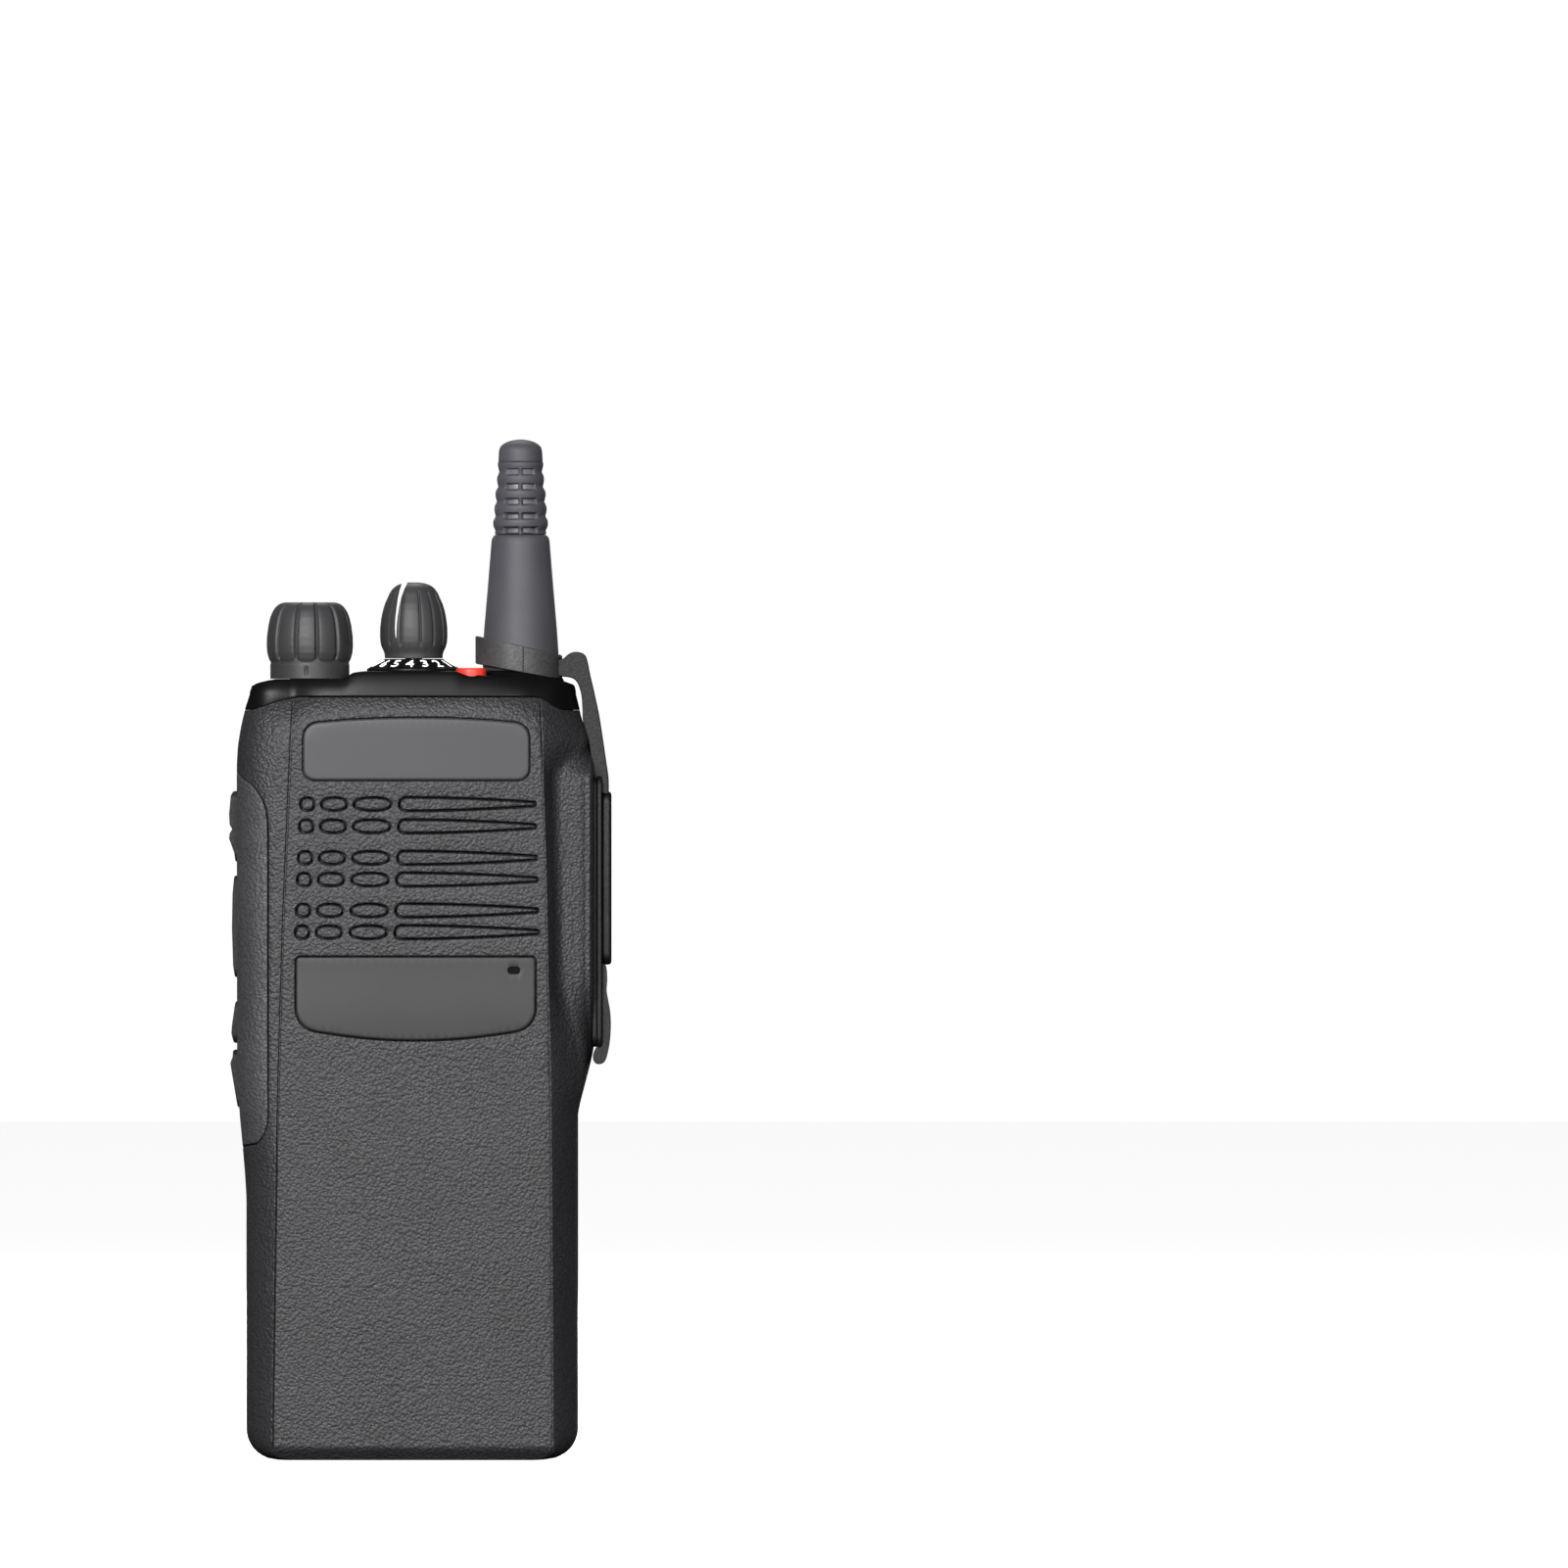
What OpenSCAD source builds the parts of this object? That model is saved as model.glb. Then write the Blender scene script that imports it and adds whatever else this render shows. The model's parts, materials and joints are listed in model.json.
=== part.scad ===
// Hand-held two-way radio: full assembly of separate pieces.
// Millimetres. +Z is up, the front face looks along -Y, +X is to the right
// of someone facing the front. The origin lies on the flat underside.

/* [Body] */
// Width of the lower body
body_w = 57.9; // [56:0.1:60]
// Depth from the front face to the back of the battery
body_d = 37.5; // [36:0.5:40]
// Height of the moulded front housing
body_h = 135.4; // [134:0.2:136]
// Wall thickness of the front housing
wall = 2.0; // [1.6:0.1:2.4]
// Reach of the left (key) bulge from the centre line
left_reach = 30.6; // [30:0.1:31]
// Reach of the right (accessory port) bulge from the centre line
right_reach = 31.8; // [31:0.1:32.2]

/* [Grille] */
// Height of each oval of the speaker grille
oval_h = 2.6; // [2.2:0.1:3]
// Width of the sound slot round each oval pad
slot_w = 0.4; // [0.3:0.05:0.6]

/* [Controls] */
// Largest radius of the volume knob
vol_r = 7.6; // [7:0.1:8]
// Number of finger flutes on the volume knob
vol_flutes = 12; // [8:1:16]
// Largest radius of the channel knob
chan_r = 5.9; // [5.5:0.1:6.2]
// Travel of the talk key and the side keys
key_travel = 0.8; // [0.5:0.1:0.9]

/* [Antenna] */
// Radius of the antenna boot at its foot
boot_r = 6.6; // [6:0.1:6.7]
// Length of the smooth tip above the ribbed section, dome included
tip_len = 4.0; // [3:0.5:130]
// Lead of the antenna thread
thread_lead = 1.0; // [0.8:0.1:1.2]

/* [Battery] */
// Gap between the radio's back and the battery
batt_gap = 0.5; // [0.4:0.1:0.6]
// Height of the battery
batt_h = 122.8; // [120:0.2:123]
// How far the battery slides down to come free of its hooks
batt_slide = 12.7; // [10:0.1:13]

/* [Hidden] */
$fn = 64;

hw = body_w / 2;                 // half width
yf = -body_d / 2;                // front face
yb = 3;                          // back rim of the front housing
cav_x = hw - wall;               // inner half width
cav_y = yf + wall;               // inner front
cav_top = body_h - wall - 1.2;   // inner ceiling
cap_z = body_h - 2;              // foot of the top cover's skirt
seat_z = body_h - 1.2;           // housing top under the cover
vol_c = [-17.9, -7.5];           // volume knob axis
chan_c = [0.3, -7.5];            // channel knob axis
ant_c = [19, -6.5];              // antenna axis
em_c = [10.4, -13.6];            // emergency button axis
led_c = [10.4, -1.6];            // status light axis
key_y = -6.2;                    // middle of the side keys
boss = [[-22, 12], [22, 12], [-22, 121], [22, 121]];
hooks = [[-20, 30], [20, 30], [-20, 92], [20, 92]];
bat_y0 = yb + batt_gap - 0.1;    // battery front face
bat_y1 = body_d / 2;             // battery back face
spk = [1, 103];                  // speaker centre, X and Z

// ---------- helpers ----------
module rr2(x0, y0, x1, y1, r) {
    translate([x0 + r, y0]) square([x1 - x0 - 2 * r, y1 - y0]);
    translate([x0, y0 + r]) square([x1 - x0, y1 - y0 - 2 * r]);
    for (x = [x0 + r, x1 - r], y = [y0 + r, y1 - r])
        translate([x, y]) circle(r);
}
// extrudes an X-Z drawing along Y
module xz(y0, y1) {
    translate([0, y1, 0]) rotate([90, 0, 0]) linear_extrude(y1 - y0) children();
}
// extrudes a Y-Z drawing along X
module yz(x0, x1) {
    translate([x0, 0, 0]) rotate([90, 0, 90]) linear_extrude(x1 - x0) children();
}
module blk(x0, x1, y0, y1, z0, z1) {
    translate([x0, y0, z0]) cube([x1 - x0, y1 - y0, z1 - z0]);
}
// cylinder along Y
module ycyl(x, z, r, y0, y1) {
    translate([x, y1, z]) rotate([90, 0, 0]) cylinder(h = y1 - y0, r = r);
}
// cylinder along X
module xcyl(y, z, r, x0, x1) {
    translate([x0, y, z]) rotate([0, 90, 0]) cylinder(h = x1 - x0, r = r);
}
// cylinder along Z at a plan point
module zcyl(c, r, z0, z1) {
    translate([c[0], c[1], z0]) cylinder(h = z1 - z0, r = r);
}
function arc(cx, cy, r, a0, a1, n) =
    [for (i = [0:n]) let (a = a0 + (a1 - a0) * i / n) [cx + r * cos(a), cy + r * sin(a)]];
// plate outline with a bowed foot (sb) and a bowed head (st)
function plate(x0, x1, z0, z1, rb, rt, sb, st, g) =
    let (a = x0 + g, b = x1 - g, m = (a + b) / 2, h = (b - a) / 2,
         lo = z0 + g, hi = z1 - g)
    concat(
        arc(a + rb, lo + sb + rb, rb, 180, 262, 6),
        [for (i = [1:9]) let (x = a + rb + (b - a - 2 * rb) * i / 10)
            [x, lo + sb * pow((x - m) / (h - rb), 2)]],
        arc(b - rb, lo + sb + rb, rb, 278, 360, 6),
        arc(b - rt, hi - st - rt, rt, 0, 84, 5),
        [for (i = [1:9]) let (x = b - rt - (b - a - 2 * rt) * i / 10)
            [x, hi - st * pow((x - m) / (h - rt), 2)]],
        arc(a + rt, hi - st - rt, rt, 96, 180, 5));
function oval(cx, cz, w, h, n = 24) =
    [for (i = [0:n - 1]) let (a = 360 * i / n, c = cos(a), s = sin(a))
        [cx + w / 2 * sign(c) * pow(abs(c), 0.85), cz + h / 2 * sign(s) * pow(abs(s), 0.85)]];
// long pad: round at the left, tapering to a small round tip at the right
function taper(x0, x1, cz, rl, rt) =
    concat(arc(x0 + rl, cz, rl, 93, 267, 8), arc(x1 - rt, cz, rt, -87, 87, 5));

// ---------- front housing shape, set in by i ----------
module prof_main(i, y1) {
    translate([-hw + i, yf + 6]) square([2 * hw - 2 * i, y1 - yf - 6]);
    translate([-hw + 6, yf + i]) square([2 * hw - 12, y1 - yf - i]);
    for (s = [-1, 1]) translate([s * (hw - 6), yf + 6]) circle(6 - i);
}
module sil_main(i) {
    polygon([[-hw + i, 5], [-hw + i, 130], [-hw + 0.7 + i, 134], [-hw + 1 + i, body_h - i],
        [hw - 1 - i, body_h - i], [hw - 0.7 - i, 134], [hw - i, 130], [hw - i, 5]]);
    translate([-hw + 5, i]) square([2 * hw - 10, 6]);
    for (s = [-1, 1]) translate([s * (hw - 5), 5]) circle(5 - i);
}
module prof_left(i, y1) {
    translate([-left_reach + i, -10.4]) square([12 - i, y1 + 10.4]);
    translate([-left_reach + 7, -17.4 + i]) square([5, y1 + 17.4 - i]);
    translate([-left_reach + 7, -10.4]) circle(7 - i);
}
module prof_right(i, y1) {
    translate([right_reach - 12, -10.8]) square([12 - i, y1 + 10.8]);
    translate([right_reach - 12, -16.8 + i]) square([6, y1 + 16.8 - i]);
    translate([right_reach - 6, -10.8]) circle(6 - i);
}
module outer(i, y1) {
    intersection() {
        translate([0, 0, i]) linear_extrude(body_h - 2 * i) prof_main(i, y1);
        xz(yf - 1, y1 + 1) sil_main(i);
        // bevel along the front foot
        yz(-40, 40) polygon([[yf + 1.6, i], [yf + i, 2.2], [yf + i, body_h], [y1 + 1, body_h], [y1 + 1, i]]);
    }
    intersection() {
        linear_extrude(body_h - 1) prof_left(i, y1);
        xz(yf - 1, y1 + 1) polygon([[-20, 46.5], [-28.6 + i, 46.5], [-29.5 + i, 55],
            [-30.3 + i, 63], [-left_reach + i, 72], [-left_reach + i, 119],
            [-30.2 + i, 125], [-28.9 + i, 131.5], [-20, 132]]);
    }
    intersection() {
        linear_extrude(body_h - 1) prof_right(i, y1);
        xz(yf - 1, y1 + 1) polygon([[20, 59], [28.7 - i, 59.5], [31.2 - i, 69],
            [right_reach - i, 72], [right_reach - i, 120.8], [29.4 - i, 125.8], [20, 126.5]]);
    }
}
module bezel_zone(g) {
    xz(yf - 1, -1.6 + g) polygon([[-33, 54.2 - g], [-27, 54.2 - g], [-25.3 + g, 56.7 - g],
        [-25 + g, 58.5], [-25 + g, 111.5], [-25.5 + g, 114.8 + g], [-27.2 + g, 117.6 + g],
        [-29.2 + g, 119.6 + g], [-33, 121.4 + g]]);
}
// side keys: outline in X-Z (proud face), and the opening round them
key_1 = [[-29.5, 104.6], [-30.9, 104.6], [-31.1, 106.2], [-32, 108.7], [-31.9, 109.6], [-31.4, 110.4],
    [-31.9, 111], [-32, 113], [-31.7, 116.2], [-31.3, 117], [-29.5, 117]];
key_p = [[-29.5, 84.4], [-31, 84.4], [-31.3, 86.5], [-31.5, 93], [-31.4, 99], [-31.1, 102.2], [-29.5, 102.2]];
key_2 = [[-29.5, 72.9], [-31.2, 72.9], [-31.6, 74.6], [-31.5, 76], [-30.9, 80.2], [-29.5, 80.2]];
key_3 = [[-29.5, 61.6], [-30.5, 61.6], [-30.9, 64], [-31.4, 67], [-31.8, 69.4], [-31.4, 70.4],
    [-31.3, 71.7], [-29.5, 71.7]];
key_z = [[104.6, 117, 110.8], [84.4, 102.2, 93.3], [72.9, 80.2, 76.5], [61.6, 71.7, 66.6]];
module key(pts, zc) {
    intersection() {
        xz(key_y - 3.8, key_y + 3.8) polygon(pts);
        yz(-40, -20) rr2(key_y - 3.8, pts[0][1], key_y + 3.8, pts[len(pts) - 1][1], 1.6);
    }
    xcyl(key_y, zc, 1.5, -29.6, -28.05);
}
module key_opening(z0, z1, g) {
    rr2(key_y - 3.8 - g, z0 - g, key_y + 3.8 + g, z1 + g, 1.6 + g);
}
upper_plate = plate(-19.1, 20.8, 118.7, 130, 2, 3.2, 0, 0.9, 0);
lower_plate = plate(-20.4, 21.9, 73.2, 88.2, 4.4, 1.2, 1.3, 0, 0);
row_z = [114.7, 110.8, 105.3, 101.5, 96.1, 92.3];
module grille(g) {
    for (k = [0:5]) {
        polygon(oval(-18.2 - 0.18 * k, row_z[k], 2.8 - 2 * g, oval_h - 2 * g, 20));
        polygon(oval(-13.5 - 0.18 * k, row_z[k], 4.8 - 2 * g, oval_h - 2 * g));
        polygon(oval(-6.8 - 0.14 * k, row_z[k], 6.8 - 2 * g, oval_h - 2 * g));
        polygon(taper(-2.3 - 0.16 * k + g, 21.9 + 0.12 * k - g, row_z[k], oval_h / 2 + 0.05 - g, 0.7 - g));
    }
}

// ---------- housing and front ----------
module front_housing() color([0.16, 0.16, 0.17]) difference() {
    union() {
        difference() {
            outer(0, yb);
            // hollow, open at the back
            translate([0, 0, wall]) linear_extrude(cav_top - wall)
                prof_main(wall, yb + 1);
            // rebate for the top cover
            difference() {
                blk(-40, 40, yf - 1, yb + 1, cap_z - 0.03, body_h + 1);
                linear_extrude(seat_z) prof_main(1.25, yb + 1);
            }
        }
        for (b = boss) ycyl(b[0], b[1], 2.4, cav_y - 0.5, 1);
    }
    for (b = boss) ycyl(b[0], b[1], 0.95, -11, 2);
    // plate seats, grille, microphone port
    xz(yf - 1, yf + 0.5) polygon(upper_plate);
    xz(yf - 1, yf + 0.5) polygon(lower_plate);
    xz(yf - 1, cav_y + 0.5) grille(0);
    blk(16.85, 18.95, yf - 1, cav_y + 1, 85, 86.2);
    // seat of the key bezel, key pockets and stem holes
    difference() {
        bezel_zone(0.05);
        outer(1.25, yb);
    }
    for (z = key_z) {
        yz(-32, -28.3) key_opening(z[0], z[1], 0.3);
        xcyl(key_y, z[2], 1.7, -30, -26);
    }
    // accessory port
    blk(27.4, 33, -8.6, -1.4, 80, 110);
    blk(26, 28, -7.6, -2.4, 84, 106);
    // top wall: control bushings, antenna socket, button stem, light pipe
    zcyl(vol_c, 3.6, 130, 140);
    zcyl(chan_c, 3.6, 130, 140);
    zcyl(ant_c, 4.6, 130, 140);
    zcyl(em_c, 1.3, 130, 140);
    zcyl(led_c, 1.3, 130, 140);
    // latch slot in the underside
    blk(-7, 7, -7, -1, -1, 3);
}
module upper_nameplate() color([0.2, 0.2, 0.21])
    xz(yf + 0.08, yf + 0.5) polygon(plate(-19.1, 20.8, 118.7, 130, 1.8, 3, 0, 0.9, 0.2));
module lower_nameplate() color([0.2, 0.2, 0.21]) difference() {
    xz(yf + 0.08, yf + 0.5) polygon(plate(-20.4, 21.9, 73.2, 88.2, 4.2, 1, 1.3, 0, 0.2));
    blk(16.85, 18.95, yf - 1, yf + 1, 85, 86.2);
}
module grille_insert() color([0.16, 0.16, 0.17]) {
    difference() {
        xz(cav_y + 0.05, cav_y + 0.9) rr2(-20.9, 90.3, 24, 117, 1.5);
        // sound passages behind the slots
        for (k = [0:5]) for (s = [-1, 1])
            blk(-19, 21, cav_y - 1, cav_y + 2, row_z[k] + s * 1.3 - 0.25, row_z[k] + s * 1.3 + 0.25);
    }
    xz(yf + 0.12, cav_y + 0.1) grille(slot_w);
}
module speaker_felt() color([0.06, 0.06, 0.06]) ycyl(spk[0], spk[1], 18, cav_y + 0.95, cav_y + 1.35);
module speaker_frame() color([0.6, 0.6, 0.62]) difference() {
    union() {
        ycyl(spk[0], spk[1], 18, cav_y + 1.4, cav_y + 2.6);
        ycyl(spk[0], spk[1], 14, cav_y + 2.5, cav_y + 5.2);
    }
    ycyl(spk[0], spk[1], 15.5, cav_y + 1, cav_y + 2.3);
    ycyl(spk[0], spk[1], 13, cav_y + 1, cav_y + 4.4);
    for (a = [0:60:300]) ycyl(spk[0] + 10.6 * cos(a), spk[1] + 10.6 * sin(a), 1.6, cav_y + 3, cav_y + 6);
}
module speaker_cone() color([0.1, 0.1, 0.11]) translate([spk[0], cav_y + 1.5, spk[1]])
    rotate([-90, 0, 0]) rotate_extrude() polygon([[0, 1.1], [4, 1.4], [5, 2.4], [6, 2.4], [12, 0.6], [13.8, 0.1],
        [15.3, 0.3], [15.3, 0.5], [13.8, 0.45], [12.1, 0.9], [6.1, 2.7], [4.8, 2.7], [3.8, 1.7], [0, 1.4]]);
module speaker_magnet() color([0.35, 0.35, 0.37]) ycyl(spk[0], spk[1], 8.6, cav_y + 5.25, cav_y + 8.4);
module microphone() color([0.7, 0.7, 0.72]) ycyl(17.9, 85.6, 2.8, cav_y + 0.6, cav_y + 3);
module mic_boot() color([0.05, 0.05, 0.05]) difference() {
    ycyl(17.9, 85.6, 3.7, cav_y + 0.02, cav_y + 3.4);
    ycyl(17.9, 85.6, 2.82, cav_y + 0.58, cav_y + 4);
    blk(16.85, 18.95, cav_y - 1, cav_y + 1, 85, 86.2);
}

// ---------- top ----------
module top_cover() color([0.07, 0.07, 0.075]) difference() {
    union() {
        difference() {
            intersection() {
                xz(yf - 1, 13) polygon([[-hw, 130], [-hw + 0.7, 134], [-28, 135.4], [-27.5, 136.1], [-26.6, 136.4],
                    [-11.2, 136.6], [-9.8, 137.2], [-8.6, 138], [8.8, 138], [10, 137.7], [11, 137.4], [13.4, 137.2],
                    [24, 136.6], [26.6, 136.5], [27.5, 136.2], [28, 135.4], [hw - 0.7, 134], [hw, 130]]);
                yz(-40, 40) polygon([[yf, cap_z], [yf, 134.2], [yf + 0.4, 135.3], [yf + 1.2, 136.1], [yf + 2.4, 136.7],
                    [yf + 4.4, 138.3], [9, 138.3], [11.6, 137.2], [12.6, 136.2], [13, 135], [13, cap_z]]);
                linear_extrude(150) union() {
                    prof_main(0, yb);
                    rr2(-27.8, -8, 27.8, 13, 4);
                }
            }
            // hollow over the housing's rebated rim and the rear cap
            linear_extrude(seat_z + 0.02) prof_main(1.2, 20);
            blk(-40, 40, yb - 0.02, 20, 100, seat_z + 0.02);
        }
        zcyl(ant_c, 6.5, seat_z + 0.02, 137.4);
    }
    zcyl(vol_c, 5.4, 130, 145);
    zcyl(chan_c, 5.4, 130, 145);
    zcyl(ant_c, 4.6, 130, 145);
    zcyl(em_c, 2.85, 130, 145);
    zcyl(led_c, 1.3, 130, 145);
}
module channel_dial() color([0.07, 0.07, 0.075]) difference() {
    translate([chan_c[0], chan_c[1], 138.02]) rotate_extrude()
        polygon([[3.7, 0], [8.15, 0], [8.2, 0.2], [8.0, 0.45], [5.4, 2.0], [5.1, 2.1], [3.7, 2.1]]);
    zcyl(chan_c, 5.0, 137, 138.5);
}
module led_light_pipe() color([0.8, 0.85, 0.8]) zcyl(led_c, 1.2, 131, 137.85);
module emergency_button() color([0.9, 0.22, 0.15]) translate([em_c[0], em_c[1], 0]) rotate_extrude()
    polygon([[0, 132.95], [1.1, 132.95], [1.1, 135.1], [2.7, 135.1], [2.7, 137.9], [2.55, 138.2], [2.2, 138.4],
        [1.2, 138.55], [0, 138.6]]);
module top_switch() color([0.2, 0.2, 0.2]) blk(em_c[0] - 3, em_c[0] + 3, em_c[1] - 3, em_c[1] + 3, 129.6, 132);
module volume_knob() color([0.14, 0.14, 0.145]) difference() {
    translate([vol_c[0], vol_c[1], 0]) rotate_extrude()
        polygon([[0, 136.78], [vol_r - 0.75, 136.78], [vol_r - 0.65, 137.1], [vol_r - 0.65, 140], [vol_r - 0.15, 140.5],
            [vol_r, 142.5], [vol_r - 0.05, 144.5], [vol_r - 0.3, 147], [vol_r - 0.75, 148.8],
            [vol_r - 1.3, 149.7], [vol_r - 2, 150.1], [vol_r - 2.8, 150], [vol_r - 3.1, 149.5], [0, 149.3]]);
    for (i = [0:vol_flutes - 1])
        translate([vol_c[0], vol_c[1], 0]) rotate([0, 0, (i + 0.5) * 360 / vol_flutes - 94])
            translate([vol_r + 0.55, 0, 140.4]) cylinder(h = 12, r = 1.1, $fn = 32);
    zcyl(vol_c, 5.5, 130, 139.2);
    zcyl(vol_c, 3.02, 130, 147.5);
}
module volume_shaft() color([0.75, 0.75, 0.77]) zcyl(vol_c, 3, 133.6, 147.4);
module volume_pot() color([0.3, 0.32, 0.35]) difference() {
    union() {
        blk(vol_c[0] - 5.5, vol_c[0] + 5.5, vol_c[1] - 5.5, vol_c[1] + 5.5, 125, cav_top - 0.05);
        zcyl(vol_c, 3.5, 130, 137.3);
    }
    zcyl(vol_c, 3.05, 133.5, 140);
}
module channel_knob() color([0.14, 0.14, 0.145]) difference() {
    translate([chan_c[0], chan_c[1], 0]) rotate_extrude()
        polygon([[0, 140.27], [5.05, 140.27], [5.15, 141.2], [5.65, 142.5], [chan_r, 143.8], [chan_r, 146],
            [5.65, 148.5], [5.15, 150.3], [4.4, 151.8], [3.3, 152.9], [2, 153.4], [0, 153.6]]);
    // crescent slot that frees the pointer fin on the left
    difference() {
        translate([chan_c[0] + 16.9, 10, 145]) rotate([90, 0, 0]) cylinder(h = 40, r = 20.8, $fn = 128);
        translate([chan_c[0] + 16.9, 11, 145]) rotate([90, 0, 0]) cylinder(h = 42, r = 20, $fn = 128);
        blk(-20, 20, -30, 20, 120, 143.7);
        blk(chan_c[0] + 0.5, 60, -30, 20, 120, 180);
    }
    for (a = [-75:25:75], s = [0, 180]) if (abs(a) < 80 && !(s == 180 && abs(a) < 40))
        translate([chan_c[0], chan_c[1], 0]) rotate([0, 0, a + s]) translate([chan_r + 0.65, 0, 142.4])
            cylinder(h = 14, r = 1, $fn = 24);
    zcyl(chan_c, 1.52, 130, 148.1);
}
module channel_shaft() color([0.75, 0.75, 0.77]) zcyl(chan_c, 1.5, 133.6, 148);
module channel_switch() color([0.3, 0.32, 0.35]) difference() {
    union() {
        blk(chan_c[0] - 6.5, chan_c[0] + 6.5, chan_c[1] - 6, chan_c[1] + 6, 125, cav_top - 0.05);
        zcyl(chan_c, 3.5, 130, 137.3);
    }
    zcyl(chan_c, 1.55, 133.5, 140);
}
module control_nuts() color([0.8, 0.8, 0.82]) for (c = [vol_c, chan_c]) difference() {
    translate([c[0], c[1], seat_z + 0.03]) cylinder(h = 1.6, r = 5.1, $fn = 6);
    zcyl(c, 3.52, 130, 140);
}

// ---------- antenna ----------
module antenna_socket() color([0.8, 0.7, 0.4]) difference() {
    union() {
        zcyl(ant_c, 4.5, 127, 137.35);
        zcyl(ant_c, 6.2, 129.5, cav_top - 0.05);
    }
    zcyl(ant_c, 3.05, 130.5, 140);
}
module antenna_ferrule() color([0.8, 0.7, 0.4]) {
    zcyl(ant_c, 3, 131.2, 139);
    zcyl(ant_c, 4.2, 138.9, 147);
}
module antenna_gasket() color([0.05, 0.05, 0.05]) difference() {
    zcyl(ant_c, 6.2, 137.42, 138);
    zcyl(ant_c, 3.1, 137, 139);
}
module antenna_boot() color([0.13, 0.13, 0.135]) difference() {
    translate([ant_c[0], ant_c[1], 0]) rotate_extrude()
        polygon([[0, 138.02], [boot_r - 0.3, 138.02], [boot_r, 138.4], [boot_r, 141.4], [boot_r - 0.26, 145.7],
            [5.72, 153.2], [5.05, 161.2], [4.95, 161.65], [4.7, 161.9], [0, 161.9]]);
    zcyl(ant_c, 3.02, 130, 139);
    zcyl(ant_c, 4.22, 138.88, 147.02);
    zcyl(ant_c, 3.32, 146, 170);
}
flex_z = [163.9, 166.4, 169, 171.6];
flex_r = [4.8, 4.6, 4.4, 4.15];
// ribbed relief: rib rings, waists between them, windows onto the core
module antenna_flex() color([0.13, 0.13, 0.135]) difference() {
    translate([ant_c[0], ant_c[1], 0]) rotate_extrude() polygon(concat(
        [[3.32, 161.92], [4.55, 161.92], [4.4, 162.4], [4.4, 163.1]],
        [for (k = [0:3]) let (z = flex_z[k], r = flex_r[k]) each
            [[r - 0.3, z - 0.65], [r, z - 0.35], [r, z + 0.35], [r - 0.3, z + 0.65], [r - 0.36, z + 1.2]]],
        [[3.72, 173.2], [3.98, 173.9], [3.95, 174.6], [3.32, 174.6]]));
    for (k = [0:4]) let (z = k < 4 ? flex_z[k] - 1.25 : flex_z[3] + 1.3)
        for (x = [0.35, -2.9]) translate([ant_c[0] + x, ant_c[1] - 6, z - 0.45]) cube([2.55, 12, 0.9]);
}
module antenna_core() color([0.3, 0.3, 0.31]) zcyl(ant_c, 3.3, 147.05, 174.55);
module antenna_tip() color([0.13, 0.13, 0.135]) translate([ant_c[0], ant_c[1], 174.62]) rotate_extrude()
    polygon([[0, 0], [3.88, 0], [3.8, tip_len - 2.2], [3.7, tip_len - 1.6], [3.3, tip_len - 0.9], [2.6, tip_len - 0.4],
        [1.5, tip_len - 0.1], [0, tip_len]]);

// ---------- side keys ----------
module ptt_bezel() color([0.1, 0.1, 0.105]) difference() {
    union() {
        intersection() {
            outer(0, yb);
            bezel_zone(0);
        }
        intersection() {
            xz(-10, -2) polygon([[-30, 117.9], [-31, 118.2], [-31.1, 120.4], [-30, 121]]);
            bezel_zone(0);
        }
    }
    outer(1.2, yb);
    for (z = key_z) yz(-34, -20) key_opening(z[0], z[1], 0.15);
}
module side_button_1() color([0.09, 0.09, 0.095]) key(key_1, key_z[0][2]);
module ptt_button() color([0.09, 0.09, 0.095]) key(key_p, key_z[1][2]);
module side_button_2() color([0.09, 0.09, 0.095]) key(key_2, key_z[2][2]);
module side_button_3() color([0.09, 0.09, 0.095]) key(key_3, key_z[3][2]);
module side_switch_board() color([0.1, 0.35, 0.2]) blk(-cav_x + 0.05, -cav_x + 0.85, -12, -1, 60, 120);
module switch_domes() color([0.85, 0.8, 0.6]) for (z = key_z) xcyl(key_y, z[2], 1.5, -27.12, -cav_x + 0.05);

// ---------- accessory port and its cover ----------
module accessory_connector() color([0.08, 0.08, 0.08]) difference() {
    union() {
        blk(27.45, 30.2, -8.5, -1.5, 80.1, 109.9);
        blk(26.2, 27.5, -7.5, -2.5, 84.1, 105.9);
    }
    for (k = [0:6], y = [-6.8, -3.2]) xcyl(y, 83.5 + 3.8 * k, 1.0, 29.8, 31);
}
module connector_contacts() color([0.85, 0.7, 0.35]) for (k = [0:6], y = [-6.8, -3.2])
    xcyl(y, 83.5 + 3.8 * k, 0.98, 29.82, 30.3);
module cover_gasket() color([0.04, 0.04, 0.04]) difference() {
    yz(right_reach + 0.02, 32.3) rr2(-10, 73, 0, 119.4, 2);
    yz(30, 34) rr2(-8.8, 79.8, -1.2, 110.2, 1);
}
module dust_cover() color([0.1, 0.1, 0.105]) {
    yz(32.32, 33.3) rr2(-10.6, 71.6, 0.6, 120, 2.5);
    yz(33.25, 34.9) rr2(-9.4, 86.6, -0.6, 116.9, 2);
    // curved finger lip at the foot
    intersection() {
        xz(-9.6, -0.4) polygon([[33.2, 84.5], [33.9, 84.3], [34.1, 82.7], [34.6, 79], [34.75, 75.5], [34.6, 72.6],
            [33.9, 69.6], [33.1, 69.3], [32.7, 71.8], [33.2, 73]]);
        yz(30, 36) rr2(-9.6, 69, -0.4, 86, 2.5);
    }
}
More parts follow.
